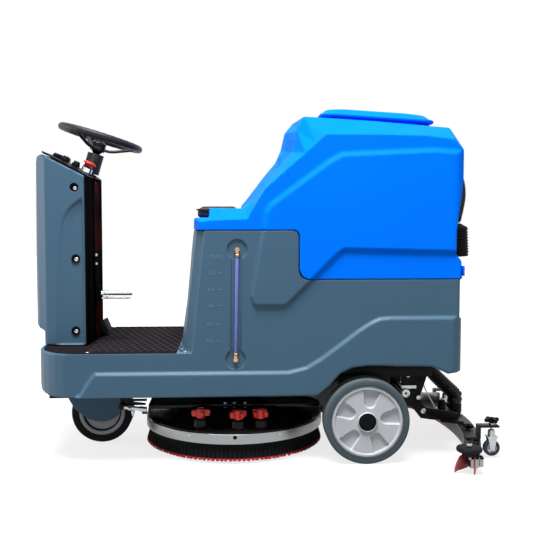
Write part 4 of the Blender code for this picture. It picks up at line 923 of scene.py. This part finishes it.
def make_mat_ribs(top):
    """Two families of low ridges that cross in long diamonds over the mat, in a colour lighter than the mat
    that paints a highlight on the pattern.
    """
    x0, x1, half = -0.53, -0.242, 0.256
    spacing, slant, wide, tall = 0.024, 0.34, 0.0016, 0.0012
    ribs = []
    for way in (-1, 1):
        for n in range(-14, 15):
            start = (x0 + x1) / 2 + n * spacing
            ends = []
            for x in (x0, x1):
                y = (x - start) / (way * slant)
                ends.append(min(max(y, -half), half))
            y0, y1 = sorted(ends)
            if y1 - y0 < 0.02:
                continue
            ribs.append(loft([[(start + way * slant * y - wide, y, top - 0.0004),
                               (start + way * slant * y + wide, y, top - 0.0004),
                               (start + way * slant * y, y, top + tall)] for y in (y0, y1)]))
    place("mat_ribs", merged(*ribs), "rib", "machine", angle=20)


def make_seat():
    lo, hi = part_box("seat_cushion")
    puff = 0.006
    core = bpy.data.meshes.new("core")
    bm = bmesh.new()
    bmesh.ops.create_cube(bm, size=1.0)
    bm.to_mesh(core)
    bm.free()
    size = hi - lo
    inset = 0.006
    core.transform(Matrix.Diagonal((size.x - 2 * inset, size.y - 2 * inset, size.z - inset, 1.0)))
    mid = (lo + hi) / 2
    core.transform(Matrix.Translation((mid.x, mid.y, mid.z - inset / 2)))
    cushion = linked("seat_cushion_soft", core)
    bevelled(cushion, 0.009, 3)
    modify(cushion, "REMESH", mode="VOXEL", voxel_size=0.0055)
    baked(cushion)
    before = np.empty(len(cushion.data.vertices) * 3)
    cushion.data.vertices.foreach_get("co", before)
    before = before.reshape(-1, 3)
    held = cushion.vertex_groups.new(name="held")
    held.add([i for i, v in enumerate(cushion.data.vertices) if v.co.z < lo.z + 0.01], 1.0, "REPLACE")
    cloth = cushion.modifiers.new("cloth", "CLOTH")
    cloth.settings.use_pressure = True
    cloth.settings.uniform_pressure_force = 4.0
    cloth.settings.effector_weights.gravity = 0.0
    cloth.settings.vertex_group_mass = "held"
    cloth.settings.shrink_min = -0.02
    cloth.point_cache.frame_start = 1
    cloth.point_cache.frame_end = 20
    for step in range(1, 21):
        bpy.context.scene.frame_set(step)
    baked(cushion)
    bpy.context.scene.frame_set(1)
    after = np.empty(len(cushion.data.vertices) * 3)
    cushion.data.vertices.foreach_get("co", after)
    moved = after.reshape(-1, 3) - before
    reach = np.linalg.norm(moved, axis=1, keepdims=True)
    moved *= np.minimum(1.0, puff / np.maximum(reach, 1e-9))
    final = before + moved
    final[:, 2] = np.maximum(final[:, 2], lo.z)
    final = np.clip(final, np.array(lo), np.array(hi) + np.array((0.0, 0.0, 0.004)))
    cushion.data.vertices.foreach_set("co", final.ravel())
    cushion.data.update()
    modify(cushion, "SUBSURF", levels=1, render_levels=1)
    baked(cushion)
    place("seat_cushion_soft", cushion, "vinyl", "recovery", "seat_cushion", shift=False, angle=70)
    welt = []
    for x, y in rounded_loop([(lo.x + 0.004, lo.y + 0.004), (hi.x - 0.004, lo.y + 0.004),
                              (hi.x - 0.004, hi.y - 0.004), (lo.x + 0.004, hi.y - 0.004)], 0.022, 8):
        welt.append((x, y, hi.z - 0.01))
    rings = []
    count = len(welt)
    for k in range(count):
        t = (Vector(welt[(k + 1) % count]) - Vector(welt[k - 1])).normalized()
        side = t.cross(Vector((0, 0, 1)))
        rings.append([Vector(welt[k]) + side * 0.0024 * math.cos(a) + Vector((0, 0, 0.0024)) * math.sin(a)
                      for a in turns(8)])
    place("seat_welt", loft(rings, loop=True), "vinyl", "recovery", shift=False, angle=70)


# ---------------------------------------------------------------- wheels
def tyre_shape(centre, r_out, r_in, half, round_by):
    """Tyre of a rectangular section with rounded shoulders."""
    prof = [(r_in, -half + 0.002), (r_in + 0.004, -half), (r_out - round_by, -half + 0.0006),
            (r_out - round_by * 0.3, -half + round_by * 0.35), (r_out, -half + round_by)]
    prof = mirrored(prof + [(r_out, -half * 0.4)])
    return turned(prof, 0.0016, 2, centre, (0, 1, 0), 120, ring=True)


def rear_hub_face(centre, s):
    """Moulded wheel face: five U-shaped pockets in a dished disc with a raised rim."""
    c = Vector(centre)
    outer, pocket_start, pocket_run = 0.106, 0.058, 0.042
    pocket_deep, rim_high, edge_drop = 0.0085, 0.0032, 0.0022
    n_ang, radii = 300, np.linspace(0.0275, outer, 84)

    def depth(x, z, r):
        d = 1e9
        for k in range(5):
            a = math.radians(10 + 72 * k)
            ux, uz = math.cos(a), math.sin(a)
            along = x * ux + z * uz
            across = abs(-x * uz + z * ux)
            t = min(max((along - pocket_start) / pocket_run, 0.0), 1.0)
            d = min(d, math.hypot(along - (pocket_start + pocket_run * t), across) - (0.0175 + 0.0085 * t))
        pocket = min(max((0.001 - d) / 0.0038, 0.0), 1.0)
        pocket = pocket * pocket * (3 - 2 * pocket)
        rim = min(max((r - 0.0945) / 0.003, 0.0), 1.0)
        edge = min(max((r - 0.103) / 0.002, 0), 1)
        return -pocket_deep * pocket * (1 - rim) + rim_high * rim - edge_drop * edge

    face_y = 0.0325
    verts, faces = [], []
    for r in radii:
        for k in range(n_ang):
            a = 2 * math.pi * k / n_ang
            x, z = r * math.cos(a) * (1 if s < 0 else -1), r * math.sin(a)
            verts.append((c.x + r * math.cos(a), c.y + s * (face_y + depth(x, z, r)), c.z + z))
    rows = len(radii)
    for j in range(rows - 1):
        for k in range(n_ang):
            m = (k + 1) % n_ang
            faces.append((j * n_ang + k, j * n_ang + m, (j + 1) * n_ang + m, (j + 1) * n_ang + k))
    base = len(verts)
    for k in range(n_ang):
        a = 2 * math.pi * k / n_ang
        verts.append((c.x + outer * math.cos(a), c.y - s * 0.03, c.z + outer * math.sin(a)))
    for k in range(n_ang):
        m = (k + 1) % n_ang
        faces.append(((rows - 1) * n_ang + k, (rows - 1) * n_ang + m, base + m, base + k))
    faces.append(tuple(range(base, base + n_ang)))
    faces.append(tuple(range(n_ang))[::-1])
    return raw(verts, faces)


def make_wheels():
    for s, side in SIDES:
        body = "rear_wheel_" + side
        c = (WHEEL[0], s * WHEEL[1], WHEEL[2])
        place("rear_tyre_shape_" + side, tyre_shape(c, 0.1268, 0.1063, WHEEL_HALF, 0.006), "tyre", body,
              "rear_tyre_" + side, angle=50)
        tread = lathe(mirrored([(0.1262, -0.029), (0.127, -0.0285)]), c, (0, 1, 0), 120, ring=True)
        place("rear_tread_" + side, tread, "tread", body)
        bead = turned([(0.1066, 0.0355), (0.1066, 0.0372), (0.1084, 0.0372), (0.1084, 0.0355)], 0.0004, 2, c,
                      (0, s, 0), 120, ring=True)
        place("rear_bead_" + side, bead, "tyre", body)
        place("rear_hub_face_" + side, rear_hub_face(c, s), "hub", body, "rear_hub_" + side, angle=55)
        collar = turned([(0.0265, 0.028), (0.0265, 0.0385), (0.0272, 0.039), (0.0284, 0.0382),
                         (0.0292, 0.036), (0.0292, 0.028)], 0.001, 2, c, (0, s, 0), 64, ring=True)
        place("rear_hub_collar_" + side, collar, "hub", body)
        cap = turned([(0.0006, 0.0402), (0.015, 0.04), (0.0245, 0.0376), (0.0262, 0.035), (0.0262, 0.029),
                      (0.0006, 0.029)], 0.0014, 2, c, (0, s, 0), 56)
        place("rear_hub_cap_" + side, cap, "black", body)

    c = FRONT
    place("front_tyre_shape", tyre_shape(c, 0.0978, 0.0748, 0.035, 0.007), "rubber", "front_wheel",
          "front_tyre", angle=50)
    for s, tag in SIDES:
        dish = turned([(0.009, 0.023), (0.023, 0.023), (0.025, 0.0275), (0.033, 0.028), (0.037, 0.0215),
                       (0.056, 0.0205), (0.06, 0.027), (0.064, 0.032), (0.0735, 0.0325), (0.0745, 0.03),
                       (0.0745, 0.0004), (0.009, 0.0004)], 0.0012, 2, c, (0, s, 0), 96, ring=True)
        place("front_hub_face_" + tag, dish, "hub", "front_wheel", "front_hub" if s < 0 else "")
        ring = lathe([(0.0575, 0.0235), (0.0612, 0.0298), (0.0602, 0.0302), (0.057, 0.024)], c, (0, s, 0), 96,
                     ring=True)
        place("front_hub_ring_" + tag, ring, "black", "front_wheel")
    refined("front_fork", "steel", "fork", 0.0012)
    guard = melted(cad_copy("wheel_guard"), 0.0022, 3, 0.5)
    place("wheel_guard_shape", guard, "grey", "fork", "wheel_guard", shift=False, angle=45)
    for s, tag in SIDES:
        hexagon("fork_nut_" + tag, (-0.5245, s * 0.0505, 0.098), (0, s, 0), 0.0095, 0.006, "zinc", "fork")


# ---------------------------------------------------------------- brush deck
def make_deck():
    cover = bevelled(cad_copy("deck_cover"), 0.0012)
    place("deck_cover_shape", cover, "gloss", "deck", "deck_cover", shift=False, angle=30)
    band = lathe(rounded([(0.2832, 0.0602), (0.286, 0.0602), (0.2866, 0.0612), (0.2866, 0.0888),
                          (0.286, 0.0898), (0.2832, 0.0898), (0.2832, 0.0602)], 0.0004, 2)[:-1],
                 (DECK_X, 0, 0), (0, 0, 1), 180, ring=True)
    place("deck_band_shape", band, "alu", "deck", "deck_band", angle=30)
    for k, ang in enumerate((-166, -118, -90, -62, -14, 60, 120, 166)):
        d = round_z(math.radians(ang))[0]
        head = 0.0045 if k != 2 else 0.006
        bolt("band_screw_%d" % (k + 1), Vector((DECK_X, 0, 0.0815)) + d * 0.2864, d, head,
             "black" if k == 2 else "zinc", "deck", height=0.0022)
    refined("brush_motor", "black", "deck", 0.0015)
    for k, (x, y) in enumerate(((-0.198, -0.208), (-0.085, -0.232), (-0.018, -0.222))):
        make_knob("paddle_knob_%d" % (k + 1), x, y, "star_knob_%d" % (k + 1), k * 0.35)
    carrier = slab(rounded_loop([(-0.366, -0.122), (0.178, -0.122), (0.178, 0.122), (-0.366, 0.122)], 0.012),
                   "z", 0.129, 0.142)
    carrier = merged(bevelled(carrier, 0.002), block(-0.366, -0.358, -0.12, 0.12, 0.101, 0.13))
    place("deck_carrier", carrier, "gloss", "deck")
    for k, x in enumerate((-0.125, -0.096, -0.062)):
        hexagon("carrier_bolt_%d" % (k + 1), (x, -0.112, 0.142), (0, 0, 1), 0.007, 0.005, "zinc", "deck")

    refined("brush_disc", "black", "brush", 0.001)
    inner, low, high = 0.1302, 0.012, 0.0552
    ring = lathe([(inner, low), (0.2765, low), (0.273, high), (inner, high)], (DECK_X, 0, 0), (0, 0, 1), 132,
                 ring=True)
    place("bristle_ring", ring, "bristle", "brush", "brush_bristles")
    make_tufts()


def make_knob(name, x, y, node, turn):
    boss = turned([(0.0006, 0.1219), (0.012, 0.1219), (0.0128, 0.1226), (0.0128, 0.149), (0.01, 0.1512),
                   (0.0006, 0.1516)], 0.001, 2, (x, y, 0), (0, 0, 1), 32)
    wings = []
    for k in range(4):
        d, e = round_z(math.radians(90 * k + 8) + turn)
        outline = rounded_loop([(0.008, 0.126), (0.0268, 0.1275), (0.029, 0.138), (0.0262, 0.147),
                                (0.008, 0.145)], 0.004, 4)
        half = 0.0042
        wings.append(loft([[Vector((x, y, 0)) + d * r + e * t * (1.0 if r > 0.012 else 0.7) + Vector((0, 0,
                                                                                                      z))
                            for r, z in outline] for t in (-half, half)]))
    place(name, merged(boss, *[bevelled(w, 0.0012, 2) for w in wings]), "red", "deck", node)


def make_tufts():
    """Bundles of bristles round the brush, each a little splayed and leaning its own way, with red tips."""
    root_z, tip_z, bundle, dark_share = 0.056, 0.0085, 0.0024, 0.84
    dark_v, dark_f, red_v, red_f = [], [], [], []
    for row, (radius, count, lean) in enumerate(((0.2685, 132, 0.0125), (0.256, 126, 0.006))):
        for k in range(count):
            d, e = round_z(2 * math.pi * (k + 0.5 * row) / count + RNG.uniform(-0.003, 0.003))
            for strand in range(5 if row == 0 else 3):
                u = 2 * math.pi * strand / 5 + RNG.uniform(-0.4, 0.4)
                off = Vector((math.cos(u), math.sin(u))) * bundle
                splay = 1.0 + RNG.uniform(0.25, 0.75)
                top = Vector((DECK_X, 0, root_z)) + d * (radius + off.x) + e * off.y
                foot = Vector((DECK_X, 0, tip_z + RNG.uniform(0, 0.0015)))
                out = radius + lean + off.x * splay + RNG.uniform(-0.0008, 0.0008)
                aside = off.y * splay + RNG.uniform(-0.001, 0.001)
                low = foot + d * out + e * aside
                far = math.hypot(low.x - DECK_X, low.y)
                if far > TUFT_REACH:
                    x = DECK_X + (low.x - DECK_X) * TUFT_REACH / far
                    low = Vector((x, low.y * TUFT_REACH / far, low.z))
                mid = top.lerp(low, dark_share)
                strand_rings(dark_v, dark_f, (top, mid), (0.0021, 0.0022), d, e)
                strand_rings(red_v, red_f, (mid, low), (0.0023, 0.0021), d, e)
    place("tufts_dark", raw(dark_v, dark_f), "bristle", "brush", angle=60)
    place("tufts_tips", raw(red_v, red_f), "tip", "brush", angle=60)


def strand_rings(verts, faces, ends, radii, d, e):
    """Adds one six-sided strand between two ends to verts and faces."""
    base = len(verts)
    seg = 6
    for p, r in zip(ends, radii):
        verts.extend([p + d * r * math.cos(t) + e * r * math.sin(t) for t in turns(seg)])
    for k in range(seg):
        j = (k + 1) % seg
        faces.append((base + k, base + j, base + seg + j, base + seg + k))
    faces.append(tuple(range(base, base + seg))[::-1])
    faces.append(tuple(range(base + seg, base + 2 * seg)))


def make_feed_pipe():
    y = -0.1812
    place("feed_pipe_main", rod((-0.44, y, 0.1522), (-0.364, y, 0.1425), 0.0062, 32), "zinc", "machine",
          "feed_pipe")
    place("feed_pipe_collar", rod((-0.42, y, 0.1497), (-0.41, y, 0.1484), 0.0085, 6), "zinc", "machine",
          angle=25)
    place("feed_pipe_sleeve", rod((-0.386, y, 0.1453), (-0.364, y, 0.1425), 0.008, 32), "zinc", "machine")
    tap = turned([(0.0004, 0.0), (0.0036, 0.0), (0.0036, 0.008), (0.0052, 0.009), (0.0052, 0.015),
                  (0.003, 0.017), (0.003, 0.023), (0.0004, 0.023)], 0.0005, 2, (-0.406, y, 0.147), (0, 0, -1),
                 24)
    place("feed_pipe_tap", tap, "zinc", "machine")
    end = turned(mirrored([(0.0004, 0.0065), (0.008, 0.0065), (0.0095, 0.005)]), 0.0008, 2,
                 (-0.44, y, 0.1522), (0, 1, 0), 32)
    place("feed_pipe_end", end, "steel", "machine")
    flag = block(-0.378, -0.362, y - 0.003, y + 0.003, 0.129, 0.1365)
    place("feed_pipe_tag", bevelled(flag, 0.0008), "blue_hose", "machine")
    place("feed_pipe_stay", bevelled(block(-0.444, -0.364, y + 0.0095, y + 0.012, 0.166, 0.174), 0.0006),
          "steel", "machine")


# ---------------------------------------------------------------- squeegee and rear
def flared_blade(r0, r1, half, n=120):
    """Front blade, whose two ends bend forward and down past the clamps."""
    straight = 0.345
    a = math.asin(half / ARC_R)
    rings = []
    for t in np.linspace(-a, a, n):
        c, s = math.cos(t), math.sin(t)
        k = min(max((abs(s) * ARC_R - straight) / (half - straight), 0.0), 1.0)
        bend = k * k * (3 - 2 * k)
        ring = []
        for r, z in ((r0, 0.004), (r1, 0.004), (r1, 0.018), (r1, 0.034), (r1, 0.05), (r0, 0.05), (r0, 0.034),
                     (r0, 0.018)):
            drop = (0.05 - z) / 0.046
            out = r - bend * (0.02 + 0.012 * math.sin(drop * math.pi * 0.55))
            ring.append((ARC_CX + out * c, out * s, z))
        rings.append(ring)
    return loft(rings)


def wing_knob(name, x, y, z, reach, tall, turn=0.3):
    """Clamp knob of the squeegee with a boss and four flat wings, standing on height z."""
    boss = turned([(0.0006, tall + 0.006), (0.0066, tall + 0.0056), (0.0076, tall + 0.003), (0.0076, 0.0),
                   (0.0006, 0.0)], 0.0008, 2, (x, y, z), (0, 0, 1), 28)
    parts = [boss]
    for k in range(4):
        d, e = round_z(2 * math.pi * k / 4 + turn)
        outline = rounded_loop([(0.004, 0.003), (reach * 0.92, 0.0035), (reach, 0.0055),
                                (reach * 0.95, tall + 0.003), (0.004, tall + 0.003)], 0.002, 3)
        parts.append(bevelled(loft([[Vector((x, y, z + h)) + d * r + e * t for r, h in outline]
                                    for t in (-0.0042, 0.0042)]), 0.001, 2))
    place(name, merged(*parts), "black", "squeegee")


def make_squeegee():
    refined("squeegee_arm", "steel", "squeegee", 0.0012)
    body = bevelled(cad_copy("squeegee_body"), 0.001)
    for s in (-1, 1):
        y0, y1 = sorted((s * 0.396, s * 0.43))
        boolean(body, world(block(0.5, 0.68, y0, y1, 0.0, 0.0526)))
    place("squeegee_body_shape", body, "steel", "squeegee", "squeegee_body", shift=False)
    place("blade_front_shape", bevelled(flared_blade(ARC_R - 0.013, ARC_R - 0.0092, 0.4165), 0.0007), "blade",
          "squeegee", "blade_front")
    rear = bevelled(arc_strip(ARC_R + 0.0092, ARC_R + 0.013, 0.004, 0.05, 0.4155), 0.0007)
    place("blade_rear_shape", rear, "blade", "squeegee", "blade_rear")
    for tag, r0, r1, half in (("front", ARC_R - 0.0156, ARC_R - 0.0134, 0.37),
                              ("rear", ARC_R + 0.0134, ARC_R + 0.0156, 0.395)):
        place("blade_strap_" + tag, bevelled(arc_strip(r0, r1, 0.016, 0.0528, half), 0.0005), "steel",
              "squeegee")
    refined("suction_port", "black", "squeegee", 0.001)
    for s, side in SIDES:
        refined("caster_fork_" + side, "zinc", "caster_" + side, 0.0008)
        y = s * CASTER[1]
        wheel = turned(mirrored([(0.012, -0.0072), (0.02, -0.008), (0.024, -0.008), (0.025, -0.0056)]), 0.001,
                       2, (CASTER[0], y, CASTER[2]), (0, 1, 0), 64, ring=True)
        place("caster_tyre_" + side, wheel, "navy", "caster_wheel_" + side, "caster_wheel_" + side)
        make_spokes(side, y)
        hexagon("caster_nut_" + side, (CASTER[0], y, 0.1012), (0, 0, 1), 0.009, 0.006, "zinc", "squeegee")
        wing_knob("caster_knob_" + side, CASTER[0], y, 0.1072, 0.024, 0.011)
        x_out = arc_x(y)
        for k, z in enumerate((0.076, 0.09)):
            hexagon("bracket_bolt_%s_%d" % (side, k + 1), (x_out + 0.0222, y, z), (1, 0, 0), 0.005, 0.0035,
                    "zinc", "squeegee")
        xe = arc_x(0.398) - 0.006
        roller = turned([(0.0072, 0.0636), (0.028, 0.0636), (0.0345, 0.065), (0.0368, 0.069), (0.0368, 0.073),
                         (0.0345, 0.077), (0.028, 0.0784), (0.0072, 0.0784)], 0.0016, 2, (xe, s * 0.398, 0),
                        (0, 0, 1), 72, ring=True)
        place("bumper_roller_shape_" + side, roller, "rubber", "roller_" + side, "bumper_roller_" + side)
        hexagon("roller_nut_" + side, (xe, s * 0.398, 0.08), (0, 0, 1), 0.0085, 0.008, "zinc", "squeegee")
        p = arc_x(s * 0.405)
        folds = [block(p - 0.004 + 0.0125 * k, p + 0.007 + 0.0125 * k, s * 0.407 - 0.011, s * 0.407 + 0.011,
                       0.021 + 0.002 * k, 0.0524) for k in range(3)]
        folds.append(block(p - 0.01, p + 0.034, s * 0.407 - 0.011, s * 0.407 + 0.011, 0.046, 0.0524))
        place("end_clamp_" + side, merged(*[bevelled(f, 0.0006) for f in folds]), "alu", "squeegee")
    for k, y in enumerate((-0.345, -0.3, -0.15, 0.15, 0.3, 0.345)):
        wing_knob("thumb_knob_%d" % (k + 1), arc_x(y), y, 0.0632, 0.019, 0.0085, turn=0.2 + k)
    big = turned([(0.0006, 0.0045), (0.007, 0.0042), (0.009, 0.0025), (0.0095, 0.0), (0.0006, 0.0)], 0.0008,
                 2, (0.512, -0.1002, 0.108), (0, -1, 0), 32)
    place("arm_bolt", big, "zinc", "squeegee")
    bracket = slab(rounded_loop([(0.55, 0.0942), (0.62, 0.0942), (0.62, 0.124), (0.55, 0.124)], 0.006), "y",
                   0.0905, 0.0945)
    place("arm_bracket", bevelled(bracket, 0.0008), "zinc", "squeegee")
    swing = turned([(0.0006, 0.018), (0.01, 0.017), (0.012, 0.014), (0.012, 0.002), (0.017, 0.0015),
                    (0.017, 0.0), (0.0006, 0.0)], 0.0008, 2, (0.6, 0, 0.1021), (0, 0, 1), 32)
    place("swing_knob", swing, "black", "squeegee")


def make_spokes(side, y):
    c = Vector((CASTER[0], y, CASTER[2]))
    half = Vector((0, 0.0055, 0))
    parts = [turned(mirrored([(0.0031, -0.0092), (0.0062, -0.0092)]), 0.0004, 1, c, (0, 1, 0), 32, ring=True),
             lathe(mirrored([(0.0118, -0.007), (0.0138, -0.0082)]), c, (0, 1, 0), 64, ring=True)]
    for k in range(8):
        a = 2 * math.pi * k / 8
        d = Vector((math.cos(a), 0, math.sin(a)))
        e = Vector((-d.z, 0, d.x)) * 0.001
        rings = [[c + d * r + e + half, c + d * r - e + half, c + d * r - e - half, c + d * r + e - half]
                 for r in (0.0055, 0.0125)]
        parts.append(loft(rings))
    place("caster_spokes_" + side, merged(*parts), "cream", "caster_wheel_" + side)


def ribbed(pitch, crest, root, start=0.0, end=1e9):
    """Radius of a corrugated hose at a distance along it, plain outside start to end."""
    def radius(run):
        if run < start or run > end:
            return crest
        wave = 0.5 + 0.5 * math.cos(2 * math.pi * (run - start) / pitch)
        return root + (crest - root) * wave ** 0.6
    return radius


def cord_route(points, count):
    """The way of a cord through points, in the world, and its length."""
    path, length = spline(points, count)
    return [p + Vector((CENTRE_X, 0, 0)) for p in path], length


def make_hoses():
    px = arc_x(0.03) - 0.003
    route = [(0.538, 0.03, 0.264), (0.542, 0.03, 0.248), (0.576, 0.03, 0.206), (0.627, 0.03, 0.156),
             (px + 0.003, 0.03, 0.129), (px + 0.001, 0.03, 0.112), (px, 0.03, 0.1026)]
    hose = world(pipe(route, ribbed(0.0082, 0.024, 0.0192, 0.01, 0.192), 200, 40))
    hose.name = "vacuum_hose_corrugated"
    hose.data.materials.append(M["hose"])
    hose.data.shade_smooth()
    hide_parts("vacuum_hose")
    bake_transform(hose)

    drain = [(0.58, -0.135, 0.872), (0.595, -0.135, 0.871), (0.613, -0.135, 0.845), (0.619, -0.135, 0.8),
             (0.612, -0.135, 0.75), (0.603, -0.135, 0.719), (0.603, -0.135, 0.7125)]
    path, length = cord_route(drain, 60)
    tube = world(pipe(drain, ribbed(0.005, 0.0115, 0.0096, 0.01, 0.16), 150, 28))
    place("drain_hose_corrugated", tube, "hose", "recovery", "drain_hose", shift=False, angle=60)
    collar = turned([(0.0118, 0.0), (0.0138, 0.0), (0.0138, 0.011), (0.0118, 0.011)], 0.0006, 2,
                    (0.603, -0.135, 0.72), (0, 0, 1), 32, ring=True)
    place("drain_collar", collar, "black", "recovery")
    axis = Vector((0.05, 0, -1)).normalized()
    start = Vector((0.604, -0.135, 0.698))
    prof = [(0.0006, -0.013), (0.011, -0.013), (0.018, -0.008), (0.03, -0.001)]
    for k in range(9):
        h = 0.004 + 0.0088 * k
        prof += [(0.0325, h), (0.0325, h + 0.0052), (0.0296, h + 0.0058), (0.0296, h + 0.0082)]
    prof += [(0.032, 0.085), (0.03, 0.0905), (0.0006, 0.0915)]
    place("drain_cap_ribbed", turned(prof, 0.0009, 2, start, axis, 64), "rubber", "recovery", "drain_cap",
          angle=50)

    lift = [(0.51, -0.04, 0.237), (0.52, -0.043, 0.205), (0.535, -0.048, 0.16), (0.56, -0.052, 0.115),
            (0.566, -0.052, 0.0955)]
    path, length = cord_route(lift, 40)
    cable = world(pipe(lift, 0.002, 60, 14))
    cable.name = "lift_cable_wire"
    cable.data.materials.append(M["cable"])
    cable.data.shade_smooth()
    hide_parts("lift_cable")
    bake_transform(cable)
    clamp = turned([(0.0024, 0.0), (0.006, 0.0), (0.006, 0.013), (0.0024, 0.013)], 0.0006, 2,
                   (0.566, -0.052, 0.0945), (0, 0, 1), 24, ring=True)
    place("cable_clamp", clamp, "zinc", "squeegee")


def make_rear():
    for node, mat, body, edge in (("chassis_frame", "steel", "machine", 0.0014),
                                  ("controller_box", "black", "machine", 0.0015),
                                  ("battery_left", "black", "machine", 0.002),
                                  ("battery_right", "black", "machine", 0.002),
                                  ("rear_axle", "steel", "machine", 0.001),
                                  ("vacuum_motor", "black", "recovery", 0.001),
                                  ("tank_hinge_lower", "steel", "machine", 0.0005),
                                  ("tank_hinge_upper", "steel", "recovery", 0.0005)):
        refined(node, mat, body, edge)
    for s, side in SIDES:
        for k, (z, body, x) in enumerate(((0.525, "machine", 0.5743), (0.5725, "recovery", 0.5788))):
            for j, y in enumerate((0.15, 0.205)):
                bolt("hinge_screw_%s_%d_%d" % (side, k + 1, j + 1), (x, s * y, z), (1, 0, 0), 0.0045, "zinc",
                     body)
    tab = slab(rounded_loop([(-0.29, 0.556), (-0.266, 0.556), (-0.266, 0.586), (-0.29, 0.586)], 0.005), "x",
               0.579, 0.583)
    place("hinge_tab", bevelled(tab, 0.001), "blue", "recovery")
    for k, (x, z) in enumerate(((0.452, 0.233), (0.485, 0.162))):
        hexagon("hanger_bolt_%d" % (k + 1), (x, -0.142, z), (0, -1, 0), 0.0075, 0.005, "zinc")
    bar = block(0.43, 0.478, -0.146, -0.1425, 0.19, 0.201)
    place("hanger_bar", bevelled(bar, 0.0008), "zinc", "machine")
    gusset = block(0.34, 0.394, -0.1425, -0.14, 0.2, 0.242)
    place("hanger_gusset", bevelled(gusset, 0.0006), "steel", "machine")
    pulley = turned([(0.004, -0.004), (0.013, -0.004), (0.01, 0.0), (0.013, 0.004), (0.004, 0.004)], 0.0008,
                    2, (0.444, -0.148, 0.177), (0, 1, 0), 40, ring=True)
    place("hanger_pulley", pulley, "zinc", "machine")


make_tanks()
make_gauge()
make_scale()
make_column()
make_controls()
make_steering()
make_pedals()
make_platform()
make_seat()
make_wheels()
make_deck()
make_feed_pipe()
make_squeegee()
make_hoses()
make_rear()
